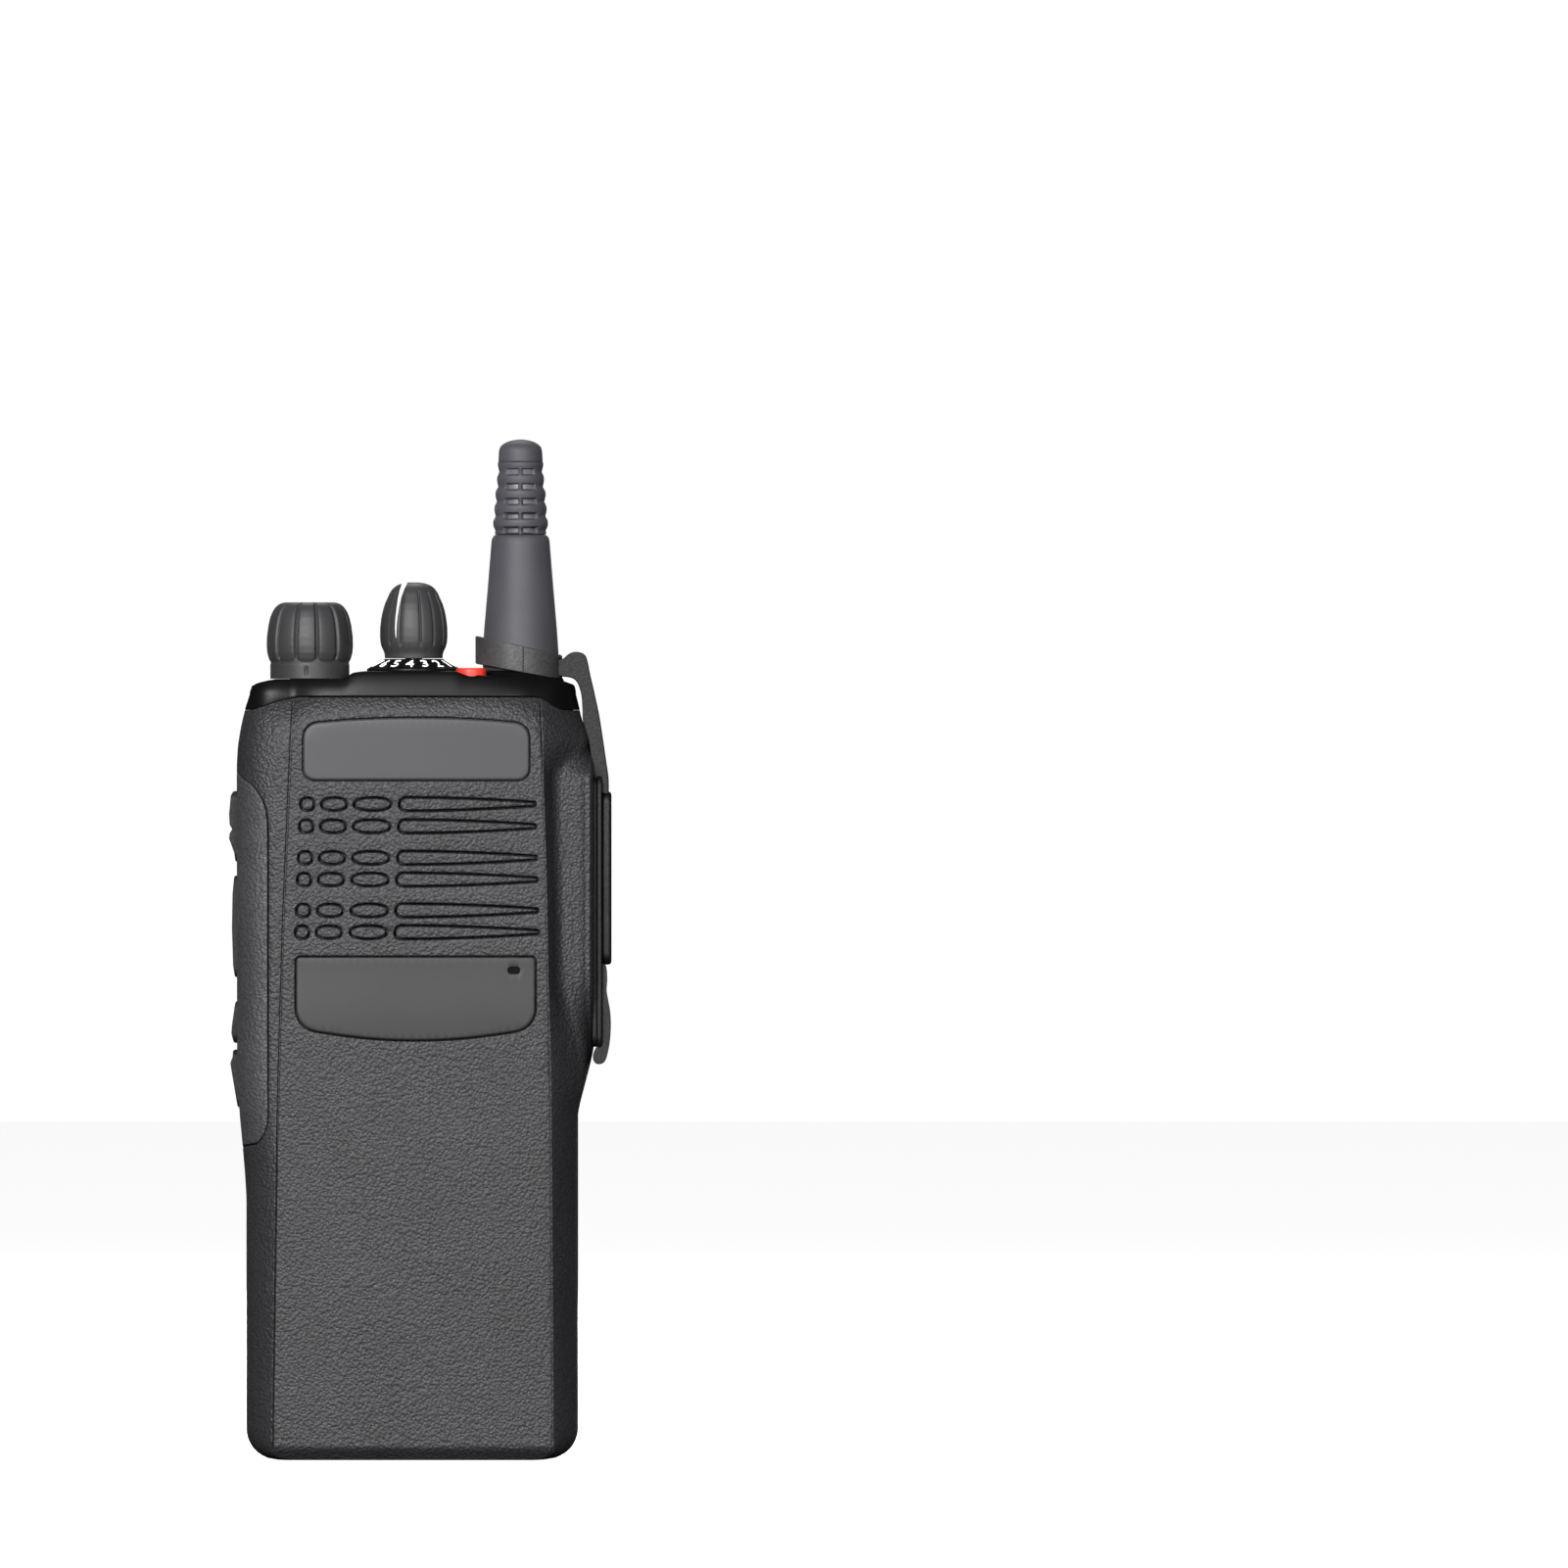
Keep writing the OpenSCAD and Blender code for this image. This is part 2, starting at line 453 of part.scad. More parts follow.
strap_pts = [[25.0, 141.9], [26.6, 141.7], [30.1, 141.5], [30.9, 140.7], [31.3, 137.4], [31.9, 135.2],
    [32.7, 130.3], [33.7, 123.5], [34.35, 119.2], [34.35, 117], [33.35, 117], [33.35, 120.1], [32.6, 120.1],
    [31.2, 126.6], [30.2, 130.8], [29.8, 134.6], [29.3, 136.1], [28.4, 136.8], [25.0, 136.9]];
module cover_strap() color([0.12, 0.12, 0.125]) {
    difference() {
        union() {
            intersection() {
                zcyl([18.8, ant_c[1]], 7.6, 130, 150);
                xz(-20, 10) polygon([[11, 143.8], [26.6, 141.9], [26.6, 136.5], [11, 139.6]]);
            }
            intersection() {
                xz(-9.4, -3.6) polygon(strap_pts);
                blk(24, 40, -20, 10, 110, 150);
            }
        }
        zcyl(ant_c, 6.85, 130, 150);
    }
}

// ---------- chassis and electronics ----------
module chassis() color([0.72, 0.72, 0.74]) {
    difference() {
        xz(1.02, 2.9) rr2(-cav_x + 0.1, wall + 0.1, cav_x - 0.1, cav_top - 0.1, 1);
        for (b = boss) {
            ycyl(b[0], b[1], 1.1, 0, 4);
            ycyl(b[0], b[1], 2.05, 1.6, 4);
        }
        blk(-8.1, 8.1, 0, 4, 23.4, 34.6);
        blk(-6, 6, 0, 4, 0, 9.5);
    }
    for (h = hooks) {
        blk(h[0] - 1.5, h[0] + 1.5, 2.8, 5.3, h[1] - 3, h[1] + 3);
        blk(h[0] - 3.5, h[0] + 3.5, 5.25, 6.4, h[1] - 3, h[1] + 3);
    }
}
module housing_seal() color([0.04, 0.04, 0.04]) xz(-0.2, 1) difference() {
    rr2(-26.5, 15, 26.5, 125.8, 3);
    rr2(-24.9, 16.6, 24.9, 124.2, 2);
}
module main_pcb() color([0.1, 0.35, 0.2]) difference() {
    xz(-6, -4.6) rr2(-24.9, 8, 24.9, 118, 1.5);
    for (b = boss) ycyl(b[0], b[1], 2.8, -10, 0);
}
module rf_shields() color([0.78, 0.78, 0.8]) for (s = [[-23, -1, 40, 76], [1, 23, 40, 76], [-23, 23, 80, 112]]) difference() {
    blk(s[0], s[1], -4.6, -1.8, s[2], s[3]);
    blk(s[0] + 0.3, s[1] - 0.3, -5, -2.1, s[2] + 0.3, s[3] - 0.3);
}
module main_chips() color([0.08, 0.08, 0.08]) {
    blk(-18, -4, -7.2, -6, 40, 54);
    blk(3, 13, -7.2, -6, 44, 54);
    blk(-14, -8, -7.0, -6, 62, 68);
    blk(2, 14, -7.4, -6, 60, 68);
}
module chassis_screws() color([0.55, 0.55, 0.57]) for (b = boss) difference() {
    union() {
        ycyl(b[0], b[1], 0.9, -8, 1.7);
        ycyl(b[0], b[1], 1.95, 1.62, 2.85);
    }
    ycyl(b[0], b[1], 0.75, 2.1, 4);
}
module contact_block() color([0.08, 0.08, 0.08]) blk(-8, 8, -1.5, 2.9, 23.5, 34.5);
module spring_contacts() color([0.85, 0.7, 0.35]) for (x = [-5.5, 0, 5.5])
    blk(x - 1.4, x + 1.4, 2.92, bat_y0 - 0.05, 25, 33);
module rear_top_cap() color([0.1, 0.1, 0.105]) difference() {
    intersection() {
        xz(2.92, 13) polygon([[-26, 123.2], [26, 123.2], [27.8, 125], [27.8, seat_z], [-27.8, seat_z],
            [-27.8, 125]]);
        linear_extrude(200) rr2(-27.8, -10, 27.8, 13, 4);
        // keeps clear of the housing's back rim
        union() {
            blk(-40, 40, yb + 0.02, 20, 100, 150);
            blk(-cav_x + 0.1, cav_x - 0.1, 2, 20, 100, cav_top - 0.1);
        }
    }
    blk(-25.6, 25.6, 2, 11.2, 125, 132.4);
}

// ---------- battery ----------
module bat_sil(i) {
    translate([-hw + i, 5]) square([2 * hw - 2 * i, batt_h - 5 - i]);
    translate([-hw + 5, i]) square([2 * hw - 10, 6]);
    for (s = [-1, 1]) translate([s * (hw - 5), 5]) circle(5 - i);
}
module bat_prof(i) {
    translate([-hw + i, bat_y0 - 1]) square([2 * hw - 2 * i, bat_y1 - bat_y0 + 1 - 4.5]);
    translate([-hw + 4.5, bat_y0 - 1]) square([2 * hw - 9, bat_y1 - bat_y0 + 1 - i]);
    for (s = [-1, 1]) translate([s * (hw - 4.5), bat_y1 - 4.5]) circle(4.5 - i);
}
module bat_solid(i, y0, y1) intersection() {
    xz(y0, y1) bat_sil(i);
    linear_extrude(batt_h) bat_prof(i);
}
module battery_case() color([0.09, 0.09, 0.095]) difference() {
    bat_solid(0, bat_y0, 9);
    bat_solid(2, bat_y0 + 1.6, 9.5);
    // keyholes for the four hooks
    for (h = hooks) {
        blk(h[0] - 1.75, h[0] + 1.75, bat_y0 - 1, bat_y0 + 2, h[1] - 3.25, h[1] + batt_slide);
        blk(h[0] - 3.75, h[0] + 3.75, bat_y0 - 1, bat_y0 + 2, h[1] + batt_slide - 3.3, h[1] + batt_slide + 3.3);
    }
    // catch notch, contact pad seats
    blk(-6.3, 6.3, bat_y0 - 1, bat_y0 + 1.25, 3.6, 9);
    for (x = [-5.5, 0, 5.5]) blk(x - 2, x + 2, bat_y0 - 1, bat_y0 + 0.25, 23, 35);
}
module battery_cover() color([0.09, 0.09, 0.095]) difference() {
    bat_solid(0, 9.02, bat_y1);
    bat_solid(2.2, 8, bat_y1 - 1.6);
    // belt-clip grooves, open at the top
    for (s = [-1, 1]) blk(s * hw - 1.1, s * hw + 1.1, 11.2, 13.8, 84, batt_h + 1);
    // label seat and charging pad seats
    xz(bat_y1 - 0.3, bat_y1 + 1) rr2(-19, 34, 19, 92, 2.5);
    for (x = [-14, 14]) ycyl(x, 12, 2.6, bat_y1 - 0.5, bat_y1 + 1);
    // finger grooves across the back
    for (z = [104:3.2:114]) xz(bat_y1 - 0.6, bat_y1 + 1) rr2(-14, z, 14, z + 1.4, 0.6);
}
module battery_cells() color([0.25, 0.4, 0.65]) for (x = [-25.2, 0.2], z = [8, 62.5])
    xz(7.2, 16.3) rr2(x, z, x + 25, z + 53.5, 2.5);
module battery_board() color([0.1, 0.35, 0.2]) blk(-12, 12, bat_y0 + 1.9, bat_y0 + 2.7, 20, 38);
module battery_contacts() color([0.85, 0.7, 0.35]) for (x = [-5.5, 0, 5.5])
    blk(x - 1.95, x + 1.95, bat_y0 + 0.02, bat_y0 + 0.24, 23.05, 34.95);
module charge_contacts() color([0.85, 0.7, 0.35]) for (x = [-14, 14])
    ycyl(x, 12, 2.55, bat_y1 - 0.48, bat_y1 - 0.15);
module battery_label() color([0.3, 0.3, 0.31]) xz(bat_y1 - 0.28, bat_y1 - 0.1) rr2(-18.8, 34.2, 18.8, 91.8, 2.3);

// ---------- battery catch ----------
module battery_catch() color([0.7, 0.7, 0.72]) {
    blk(-5, 5, 0.5, 1.0, 3.9, 14.6);
    yz(-4, 4) polygon([[0.9, 5.2], [2.8, 5.2], [4.5, 6.9], [4.5, 7.9], [4.3, 8.2], [0.9, 8.2]]);
}
module battery_latch() color([0.1, 0.1, 0.105]) difference() {
    union() {
        blk(-6.5, 6.5, -5, -1.5, 0.3, 2.2);
        blk(-8.5, 8.5, -5.2, -1.2, 2.15, 3.4);
        blk(-3, 3, -1.4, 1.65, 2.4, 3.4);
        blk(-3, 3, 1.05, 1.65, 3.3, 4.5);
    }
    for (y = [-4.4, -3.4, -2.4]) blk(-5.8, 5.8, y - 0.25, y + 0.25, 0, 0.7);
}

front_housing();
upper_nameplate();
lower_nameplate();
grille_insert();
speaker_felt();
speaker_frame();
speaker_cone();
speaker_magnet();
microphone();
mic_boot();
top_cover();
channel_dial();
led_light_pipe();
emergency_button();
top_switch();
volume_knob();
volume_shaft();
volume_pot();
channel_knob();
channel_shaft();
channel_switch();
control_nuts();
antenna_socket();
antenna_ferrule();
antenna_boot();
antenna_flex();
antenna_core();
antenna_tip();
antenna_gasket();
ptt_bezel();
side_button_1();
ptt_button();
side_button_2();
side_button_3();
side_switch_board();
switch_domes();
accessory_connector();
connector_contacts();
dust_cover();
cover_gasket();
cover_strap();
chassis();
housing_seal();
main_pcb();
rf_shields();
main_chips();
chassis_screws();
contact_block();
spring_contacts();
battery_case();
battery_cover();
battery_cells();
battery_board();
battery_contacts();
charge_contacts();
battery_label();
battery_catch();
battery_latch();
rear_top_cap();
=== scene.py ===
"""Looks for a hand-held two-way radio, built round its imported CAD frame."""
import json
import math

import bpy
import bmesh
import numpy as np
from mathutils import Matrix, Vector
from mathutils.geometry import delaunay_2d_cdt


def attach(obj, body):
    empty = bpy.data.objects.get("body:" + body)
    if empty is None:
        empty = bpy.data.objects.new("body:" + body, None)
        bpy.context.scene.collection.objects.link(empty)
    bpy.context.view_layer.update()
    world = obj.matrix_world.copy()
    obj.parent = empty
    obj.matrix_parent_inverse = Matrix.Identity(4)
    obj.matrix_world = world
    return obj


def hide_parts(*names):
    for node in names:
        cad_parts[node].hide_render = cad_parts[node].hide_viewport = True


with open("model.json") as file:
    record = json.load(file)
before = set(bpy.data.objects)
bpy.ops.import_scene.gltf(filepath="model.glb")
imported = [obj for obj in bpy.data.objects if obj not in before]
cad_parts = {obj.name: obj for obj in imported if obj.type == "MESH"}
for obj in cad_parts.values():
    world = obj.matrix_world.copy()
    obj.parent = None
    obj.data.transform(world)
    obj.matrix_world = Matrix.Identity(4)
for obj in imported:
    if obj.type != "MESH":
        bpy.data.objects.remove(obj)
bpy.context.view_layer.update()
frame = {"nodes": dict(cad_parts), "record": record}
nodes = frame["nodes"]
MM = 0.001
YF = -18.75


# ------------------------------------------------------------------ materials
def new_mat(name):
    m = bpy.data.materials.new(name)
    m.use_nodes = True
    nt = m.node_tree
    return m, nt, nt.nodes["Principled BSDF"]


def add(nt, kind, x=0, y=0, **kw):
    n = nt.nodes.new(kind)
    n.location = (x, y)
    for k, v in kw.items():
        setattr(n, k, v)
    return n


def plastic(name, dark, light, rough=0.5, spread=0.06, grain=0.45, depth=0.05, strength=0.6, blotch=3.0,
            spec=0.5, coat=0.0, pebble=True, edge=0.0, metal=0.0):
    """Moulded plastic or rubber: pebbled grain of a size in mm, soft colour drift, uneven gloss, rubbed edges."""
    m, nt, b = new_mat(name)
    L = nt.links
    tc = add(nt, "ShaderNodeTexCoord", -1200, 0)
    # colour drift
    n1 = add(nt, "ShaderNodeTexNoise", -900, 300)
    n1.inputs["Scale"].default_value = 1000.0 / blotch / 2
    n1.inputs["Detail"].default_value = 5
    n1.inputs["Roughness"].default_value = 0.62
    L.new(tc.outputs["Object"], n1.inputs["Vector"])
    ramp = add(nt, "ShaderNodeValToRGB", -650, 300)
    ramp.color_ramp.elements[0].position = 0.32
    ramp.color_ramp.elements[1].position = 0.7
    ramp.color_ramp.elements[0].color = (*dark, 1)
    ramp.color_ramp.elements[1].color = (*light, 1)
    L.new(n1.outputs["Fac"], ramp.inputs["Fac"])
    col = ramp.outputs["Color"]
    # grain height
    if pebble:
        v = add(nt, "ShaderNodeTexVoronoi", -900, -50, feature="SMOOTH_F1")
        v.inputs["Scale"].default_value = 1000.0 / grain
        v.inputs["Smoothness"].default_value = 0.6
        v.inputs["Randomness"].default_value = 1.0
        wn = add(nt, "ShaderNodeTexNoise", -1150, -200)
        wn.inputs["Scale"].default_value = 1000.0 / grain * 0.7
        wn.inputs["Detail"].default_value = 2
        L.new(tc.outputs["Object"], wn.inputs["Vector"])
        mixv = add(nt, "ShaderNodeMixRGB", -1020, -100, blend_type="ADD")
        mixv.inputs["Fac"].default_value = 1.0
        sc = add(nt, "ShaderNodeVectorMath", -1080, -280, operation="SCALE")
        sc.inputs["Scale"].default_value = grain * 0.00035
        L.new(wn.outputs["Color"], sc.inputs[0])
        L.new(tc.outputs["Object"], mixv.inputs["Color1"])
        L.new(sc.outputs[0], mixv.inputs["Color2"])
        L.new(mixv.outputs["Color"], v.inputs["Vector"])
        h1 = v.outputs["Distance"]
    else:
        v = add(nt, "ShaderNodeTexNoise", -900, -50)
        v.inputs["Scale"].default_value = 1000.0 / grain
        v.inputs["Detail"].default_value = 4
        L.new(tc.outputs["Object"], v.inputs["Vector"])
        h1 = v.outputs["Fac"]
    n2 = add(nt, "ShaderNodeTexNoise", -900, -320)
    n2.inputs["Scale"].default_value = 1000.0 / grain * 2.1
    n2.inputs["Detail"].default_value = 3
    L.new(tc.outputs["Object"], n2.inputs["Vector"])
    hm = add(nt, "ShaderNodeMath", -650, -150, operation="MULTIPLY_ADD")
    hm.inputs[1].default_value = 0.5
    L.new(n2.outputs["Fac"], hm.inputs[0])
    L.new(h1, hm.inputs[2])
    bump = add(nt, "ShaderNodeBump", -300, -200)
    bump.inputs["Strength"].default_value = strength
    bump.inputs["Distance"].default_value = depth * MM
    L.new(hm.outputs[0], bump.inputs["Height"])
    L.new(bump.outputs["Normal"], b.inputs["Normal"])
    # gloss varies with the grain
    rr = add(nt, "ShaderNodeMapRange", -400, 50)
    rr.inputs["From Min"].default_value = 0.25
    rr.inputs["From Max"].default_value = 0.85
    rr.inputs["To Min"].default_value = max(0.05, rough - spread)
    rr.inputs["To Max"].default_value = min(1.0, rough + spread)
    L.new(hm.outputs[0], rr.inputs["Value"])
    L.new(rr.outputs["Result"], b.inputs["Roughness"])
    # painted shade and highlight: the grain's valleys are meant to hold a little less light, so the colour is scaled
    # with the grain height, by 1.18 at its low end to 0.74 at its high end
    if pebble:
        grain_painted_shade = add(nt, "ShaderNodeMapRange", -420, 420)
        grain_painted_shade.inputs["From Min"].default_value = 0.15
        grain_painted_shade.inputs["From Max"].default_value = 0.95
        grain_painted_shade.inputs["To Min"].default_value = 1.18
        grain_painted_shade.inputs["To Max"].default_value = 0.74
        L.new(hm.outputs[0], grain_painted_shade.inputs["Value"])
        mul = add(nt, "ShaderNodeVectorMath", -250, 350, operation="SCALE")
        L.new(col, mul.inputs[0])
        L.new(grain_painted_shade.outputs["Result"], mul.inputs["Scale"])
        col = mul.outputs[0]
    if edge > 0:
        geo = add(nt, "ShaderNodeNewGeometry", -900, 600)
        er = add(nt, "ShaderNodeMapRange", -650, 600)
        er.inputs["From Min"].default_value = 0.53
        er.inputs["From Max"].default_value = 0.62
        er.inputs["To Min"].default_value = 0.0
        er.inputs["To Max"].default_value = edge
        L.new(geo.outputs["Pointiness"], er.inputs["Value"])
        mx = add(nt, "ShaderNodeMixRGB", -120, 420, blend_type="MIX")
        L.new(er.outputs["Result"], mx.inputs["Fac"])
        L.new(col, mx.inputs["Color1"])
        mx.inputs["Color2"].default_value = (*[min(1, c * 2.2) for c in light], 1)
        col = mx.outputs["Color"]
    L.new(col, b.inputs["Base Color"])
    b.inputs["Specular IOR Level"].default_value = spec
    b.inputs["Metallic"].default_value = metal
    if coat:
        b.inputs["Coat Weight"].default_value = coat
        b.inputs["Coat Roughness"].default_value = 0.25
    return m


def metal(name, base, rough=0.3, scratch=0.4):
    m, nt, b = new_mat(name)
    L = nt.links
    tc = add(nt, "ShaderNodeTexCoord", -900, 0)
    mp = add(nt, "ShaderNodeMapping", -750, 0)
    mp.inputs["Scale"].default_value = (1, 1, 12)
    n = add(nt, "ShaderNodeTexNoise", -550, 0)
    n.inputs["Scale"].default_value = 900
    n.inputs["Detail"].default_value = 5
    L.new(tc.outputs["Object"], mp.inputs["Vector"])
    L.new(mp.outputs["Vector"], n.inputs["Vector"])
    r = add(nt, "ShaderNodeMapRange", -300, 0)
    r.inputs["To Min"].default_value = max(0.05, rough - 0.12)
    r.inputs["To Max"].default_value = rough + 0.15
    L.new(n.outputs["Fac"], r.inputs["Value"])
    L.new(r.outputs["Result"], b.inputs["Roughness"])
    ramp = add(nt, "ShaderNodeValToRGB", -300, 250)
    ramp.color_ramp.elements[0].color = (*[c * 0.82 for c in base], 1)
    ramp.color_ramp.elements[1].color = (*base, 1)
    L.new(n.outputs["Fac"], ramp.inputs["Fac"])
    L.new(ramp.outputs["Color"], b.inputs["Base Color"])
    bump = add(nt, "ShaderNodeBump", -200, -250)
    bump.inputs["Strength"].default_value = scratch
    bump.inputs["Distance"].default_value = 0.00001
    L.new(n.outputs["Fac"], bump.inputs["Height"])
    L.new(bump.outputs["Normal"], b.inputs["Normal"])
    b.inputs["Metallic"].default_value = 1.0
    return m


M = {}
M["housing"] = plastic("housing_grain", (0.040, 0.040, 0.042), (0.050, 0.050, 0.056), rough=0.47, grain=0.52,
                       depth=0.17, strength=0.95, blotch=9, spec=0.5)
M["nameplate"] = plastic("nameplate_satin", (0.055, 0.055, 0.058), (0.064, 0.064, 0.069), rough=0.46, grain=0.16,
                         depth=0.006, strength=0.35, blotch=16, pebble=False, spec=0.45)
# painted shade: a darker copy of the nameplate material for the lower plate, its colour lowered to stand in for shade
M["nameplate_low"] = plastic("nameplate_satin_painted_shade", (0.030, 0.030, 0.031), (0.036, 0.036, 0.037), rough=0.48, grain=0.16,
                             depth=0.006, strength=0.35, blotch=16, pebble=False, spec=0.45)
M["dark_plastic"] = plastic("cover_gloss", (0.007, 0.007, 0.0074), (0.0095, 0.0095, 0.0102), rough=0.33, grain=0.25,
                            depth=0.006, strength=0.3, blotch=10, pebble=False, spec=0.2)
# painted light: a lighter copy of the housing grain for the key bezel, its colour raised to stand in for light that its
# sideways-turned surface does not get
M["bezel"] = plastic("bezel_grain_painted_light", (0.072, 0.072, 0.075), (0.088, 0.088, 0.094), rough=0.48, grain=0.52,
                     depth=0.17, strength=0.95, blotch=9, spec=0.5)
M["knob"] = plastic("knob_satin", (0.048, 0.048, 0.0495), (0.059, 0.059, 0.062), rough=0.5, grain=0.2,
                    depth=0.012, strength=0.4, blotch=8, pebble=False)
M["keys"] = plastic("key_rubber", (0.020, 0.020, 0.021), (0.028, 0.028, 0.030), rough=0.6, grain=0.35,
                    depth=0.04, strength=0.4, blotch=8)
M["ring_rubber"] = plastic("ring_rubber_skin", (0.066, 0.066, 0.0665), (0.086, 0.086, 0.087), rough=0.5, grain=0.4,
                           depth=0.035, strength=0.45, blotch=6)
M["rubber"] = plastic("strap_rubber", (0.0065, 0.0065, 0.0067), (0.010, 0.010, 0.0103), rough=0.55, grain=0.4,
                      depth=0.035, strength=0.45, blotch=6)
M["antenna_rubber"] = plastic("antenna_rubber_skin", (0.080, 0.079, 0.088), (0.096, 0.095, 0.108), rough=0.55, grain=0.18,
                              depth=0.01, strength=0.35, blotch=10, pebble=False, spec=0.4)
M["antenna_core"] = plastic("antenna_core_skin", (0.12, 0.12, 0.13), (0.17, 0.17, 0.18), rough=0.4, grain=0.3,
                            depth=0.01, strength=0.3, blotch=6, pebble=False)
M["red_button"] = plastic("red_button_skin", (0.62, 0.045, 0.03), (0.75, 0.075, 0.05), rough=0.4, grain=0.3,
                          depth=0.008, strength=0.3, blotch=4, pebble=False)
M["light_pipe"] = plastic("light_pipe_clear", (0.45, 0.5, 0.46), (0.6, 0.65, 0.6), rough=0.15, grain=0.5,
                          depth=0.002, strength=0.2, blotch=3, pebble=False, coat=0.5)
M["felt"] = plastic("felt_weave", (0.004, 0.004, 0.004), (0.008, 0.008, 0.008), rough=0.95, grain=0.3, depth=0.15, strength=1.0)
M["cone_paper"] = plastic("cone_paper_skin", (0.02, 0.02, 0.02), (0.04, 0.04, 0.04), rough=0.8, grain=0.5, depth=0.05, strength=0.6)
M["magnet"] = metal("magnet_grey", (0.2, 0.2, 0.21), rough=0.5)
M["bright_steel"] = metal("bright_steel_skin", (0.62, 0.62, 0.64), rough=0.28)
M["cast_frame"] = metal("cast_frame_skin", (0.5, 0.5, 0.52), rough=0.5, scratch=0.8)
M["brass"] = metal("brass_skin", (0.72, 0.52, 0.24), rough=0.28)
M["gold"] = metal("gold_skin", (0.9, 0.66, 0.28), rough=0.2, scratch=0.2)
M["board"] = plastic("board_green", (0.015, 0.09, 0.04), (0.025, 0.14, 0.06), rough=0.4, grain=1.2, depth=0.02,
                     strength=0.4, blotch=5, pebble=False, coat=0.3)
M["component"] = plastic("component_black", (0.018, 0.018, 0.018), (0.03, 0.03, 0.03), rough=0.55, grain=0.3,
                         depth=0.01, strength=0.4, pebble=False)
M["cell_wrap"] = plastic("cell_wrap_blue", (0.02, 0.06, 0.18), (0.03, 0.09, 0.24), rough=0.35, grain=3, depth=0.02,
                         strength=0.3, pebble=False)
M["battery_plastic"] = plastic("battery_grain", (0.030, 0.030, 0.0315), (0.040, 0.040, 0.043), rough=0.5, grain=0.52,
                               depth=0.12, strength=0.65, blotch=9, spec=0.45, edge=0)
M["label"] = plastic("label_film", (0.060, 0.060, 0.063), (0.074, 0.074, 0.078), rough=0.38, grain=0.5, depth=0.004,
                     strength=0.3, blotch=14, pebble=False, edge=0)
M["ink"] = plastic("dial_ink_painted_glow", (0.86, 0.86, 0.86), (0.95, 0.95, 0.95), rough=0.5, grain=0.2, depth=0.004, strength=0.3,
                   blotch=2, pebble=False)
# painted light: the numbers glow a little though nothing lights them, to brighten print that faces up into dim light
M["ink"].node_tree.nodes["Principled BSDF"].inputs["Emission Color"].default_value = (1, 1, 1, 1)
M["ink"].node_tree.nodes["Principled BSDF"].inputs["Emission Strength"].default_value = 0.3


# ------------------------------------------------------------------ helpers
def add_obj(name, verts, faces, mat, smooth=True, unit=MM):
    me = bpy.data.meshes.new(name)
    me.from_pydata([tuple(float(c) * unit for c in v) for v in verts], [], [tuple(int(i) for i in f) for f in faces])
    me.validate()
    me.update()
    o = bpy.data.objects.new(name, me)
    bpy.context.scene.collection.objects.link(o)
    me.materials.append(mat)
    if smooth:
        me.polygons.foreach_set("use_smooth", [True] * len(me.polygons))
    return o


def fix_normals(o):
    bm = bmesh.new()
    bm.from_mesh(o.data)
    bmesh.ops.remove_doubles(bm, verts=bm.verts, dist=2e-6)
    bmesh.ops.recalc_face_normals(bm, faces=bm.faces)
    bm.to_mesh(o.data)
    bm.free()
    return o


def weighted(o, angle=None):
    if angle is not None:
        o.data.set_sharp_from_angle(angle=math.radians(angle))
    w = o.modifiers.new("weighted", "WEIGHTED_NORMAL")
    w.keep_sharp = True
    w.weight = 80
    return o


def place(o, slot, *reps, body="radio"):
    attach(o, body)
    if reps:
        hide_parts(*reps)
    return o


def smoothstep(a, b, x):
    t = np.clip((np.asarray(x, float) - a) / (b - a), 0, 1)
    return t * t * (3 - 2 * t)


def ccw(poly):
    p = np.asarray(poly, float)
    a = np.sum(p[:, 0] * np.roll(p[:, 1], -1) - np.roll(p[:, 0], -1) * p[:, 1])
    return p if a > 0 else p[::-1]


def offset_poly(poly, d):
    """Moves each side of a closed outline outwards by d."""
    p = ccw(poly)
    e = np.roll(p, -1, 0) - p
    e /= np.maximum(np.linalg.norm(e, axis=1), 1e-9)[:, None]
    n = np.stack([e[:, 1], -e[:, 0]], 1)
    npv = np.roll(n, 1, 0)
    s = n + npv
    k = 1 + np.sum(n * npv, 1)
    return p + s / np.maximum(k, 0.35)[:, None] * d


def resample(poly, step):
    p = ccw(poly)
    q = np.vstack([p, p[:1]])
    seg = np.linalg.norm(np.diff(q, axis=0), axis=1)
    s = np.concatenate([[0], np.cumsum(seg)])
    n = max(8, int(round(s[-1] / step)))
    t = np.linspace(0, s[-1], n, endpoint=False)
    return np.stack([np.interp(t, s, q[:, 0]), np.interp(t, s, q[:, 1])], 1)


def signed_dist(pts, poly):
    """Negative inside a closed outline."""
    p = np.asarray(pts, float)
    a = np.asarray(poly, float)
    b = np.roll(a, -1, 0)
    best = np.full(len(p), 1e9)
    inside = np.zeros(len(p), bool)
    for i in range(len(a)):
        d = b[i] - a[i]
        t = np.clip(((p - a[i]) @ d) / max(d @ d, 1e-12), 0, 1)
        q = p - (a[i] + t[:, None] * d)
        best = np.minimum(best, np.einsum("ij,ij->i", q, q))
        cond = (a[i, 1] > p[:, 1]) != (b[i, 1] > p[:, 1])
        with np.errstate(divide="ignore", invalid="ignore"):
            xc = (b[i, 0] - a[i, 0]) * (p[:, 1] - a[i, 1]) / (b[i, 1] - a[i, 1] + 1e-15) + a[i, 0]
        inside ^= cond & (p[:, 0] < xc)
    d = np.sqrt(best)
    return np.where(inside, -d, d)


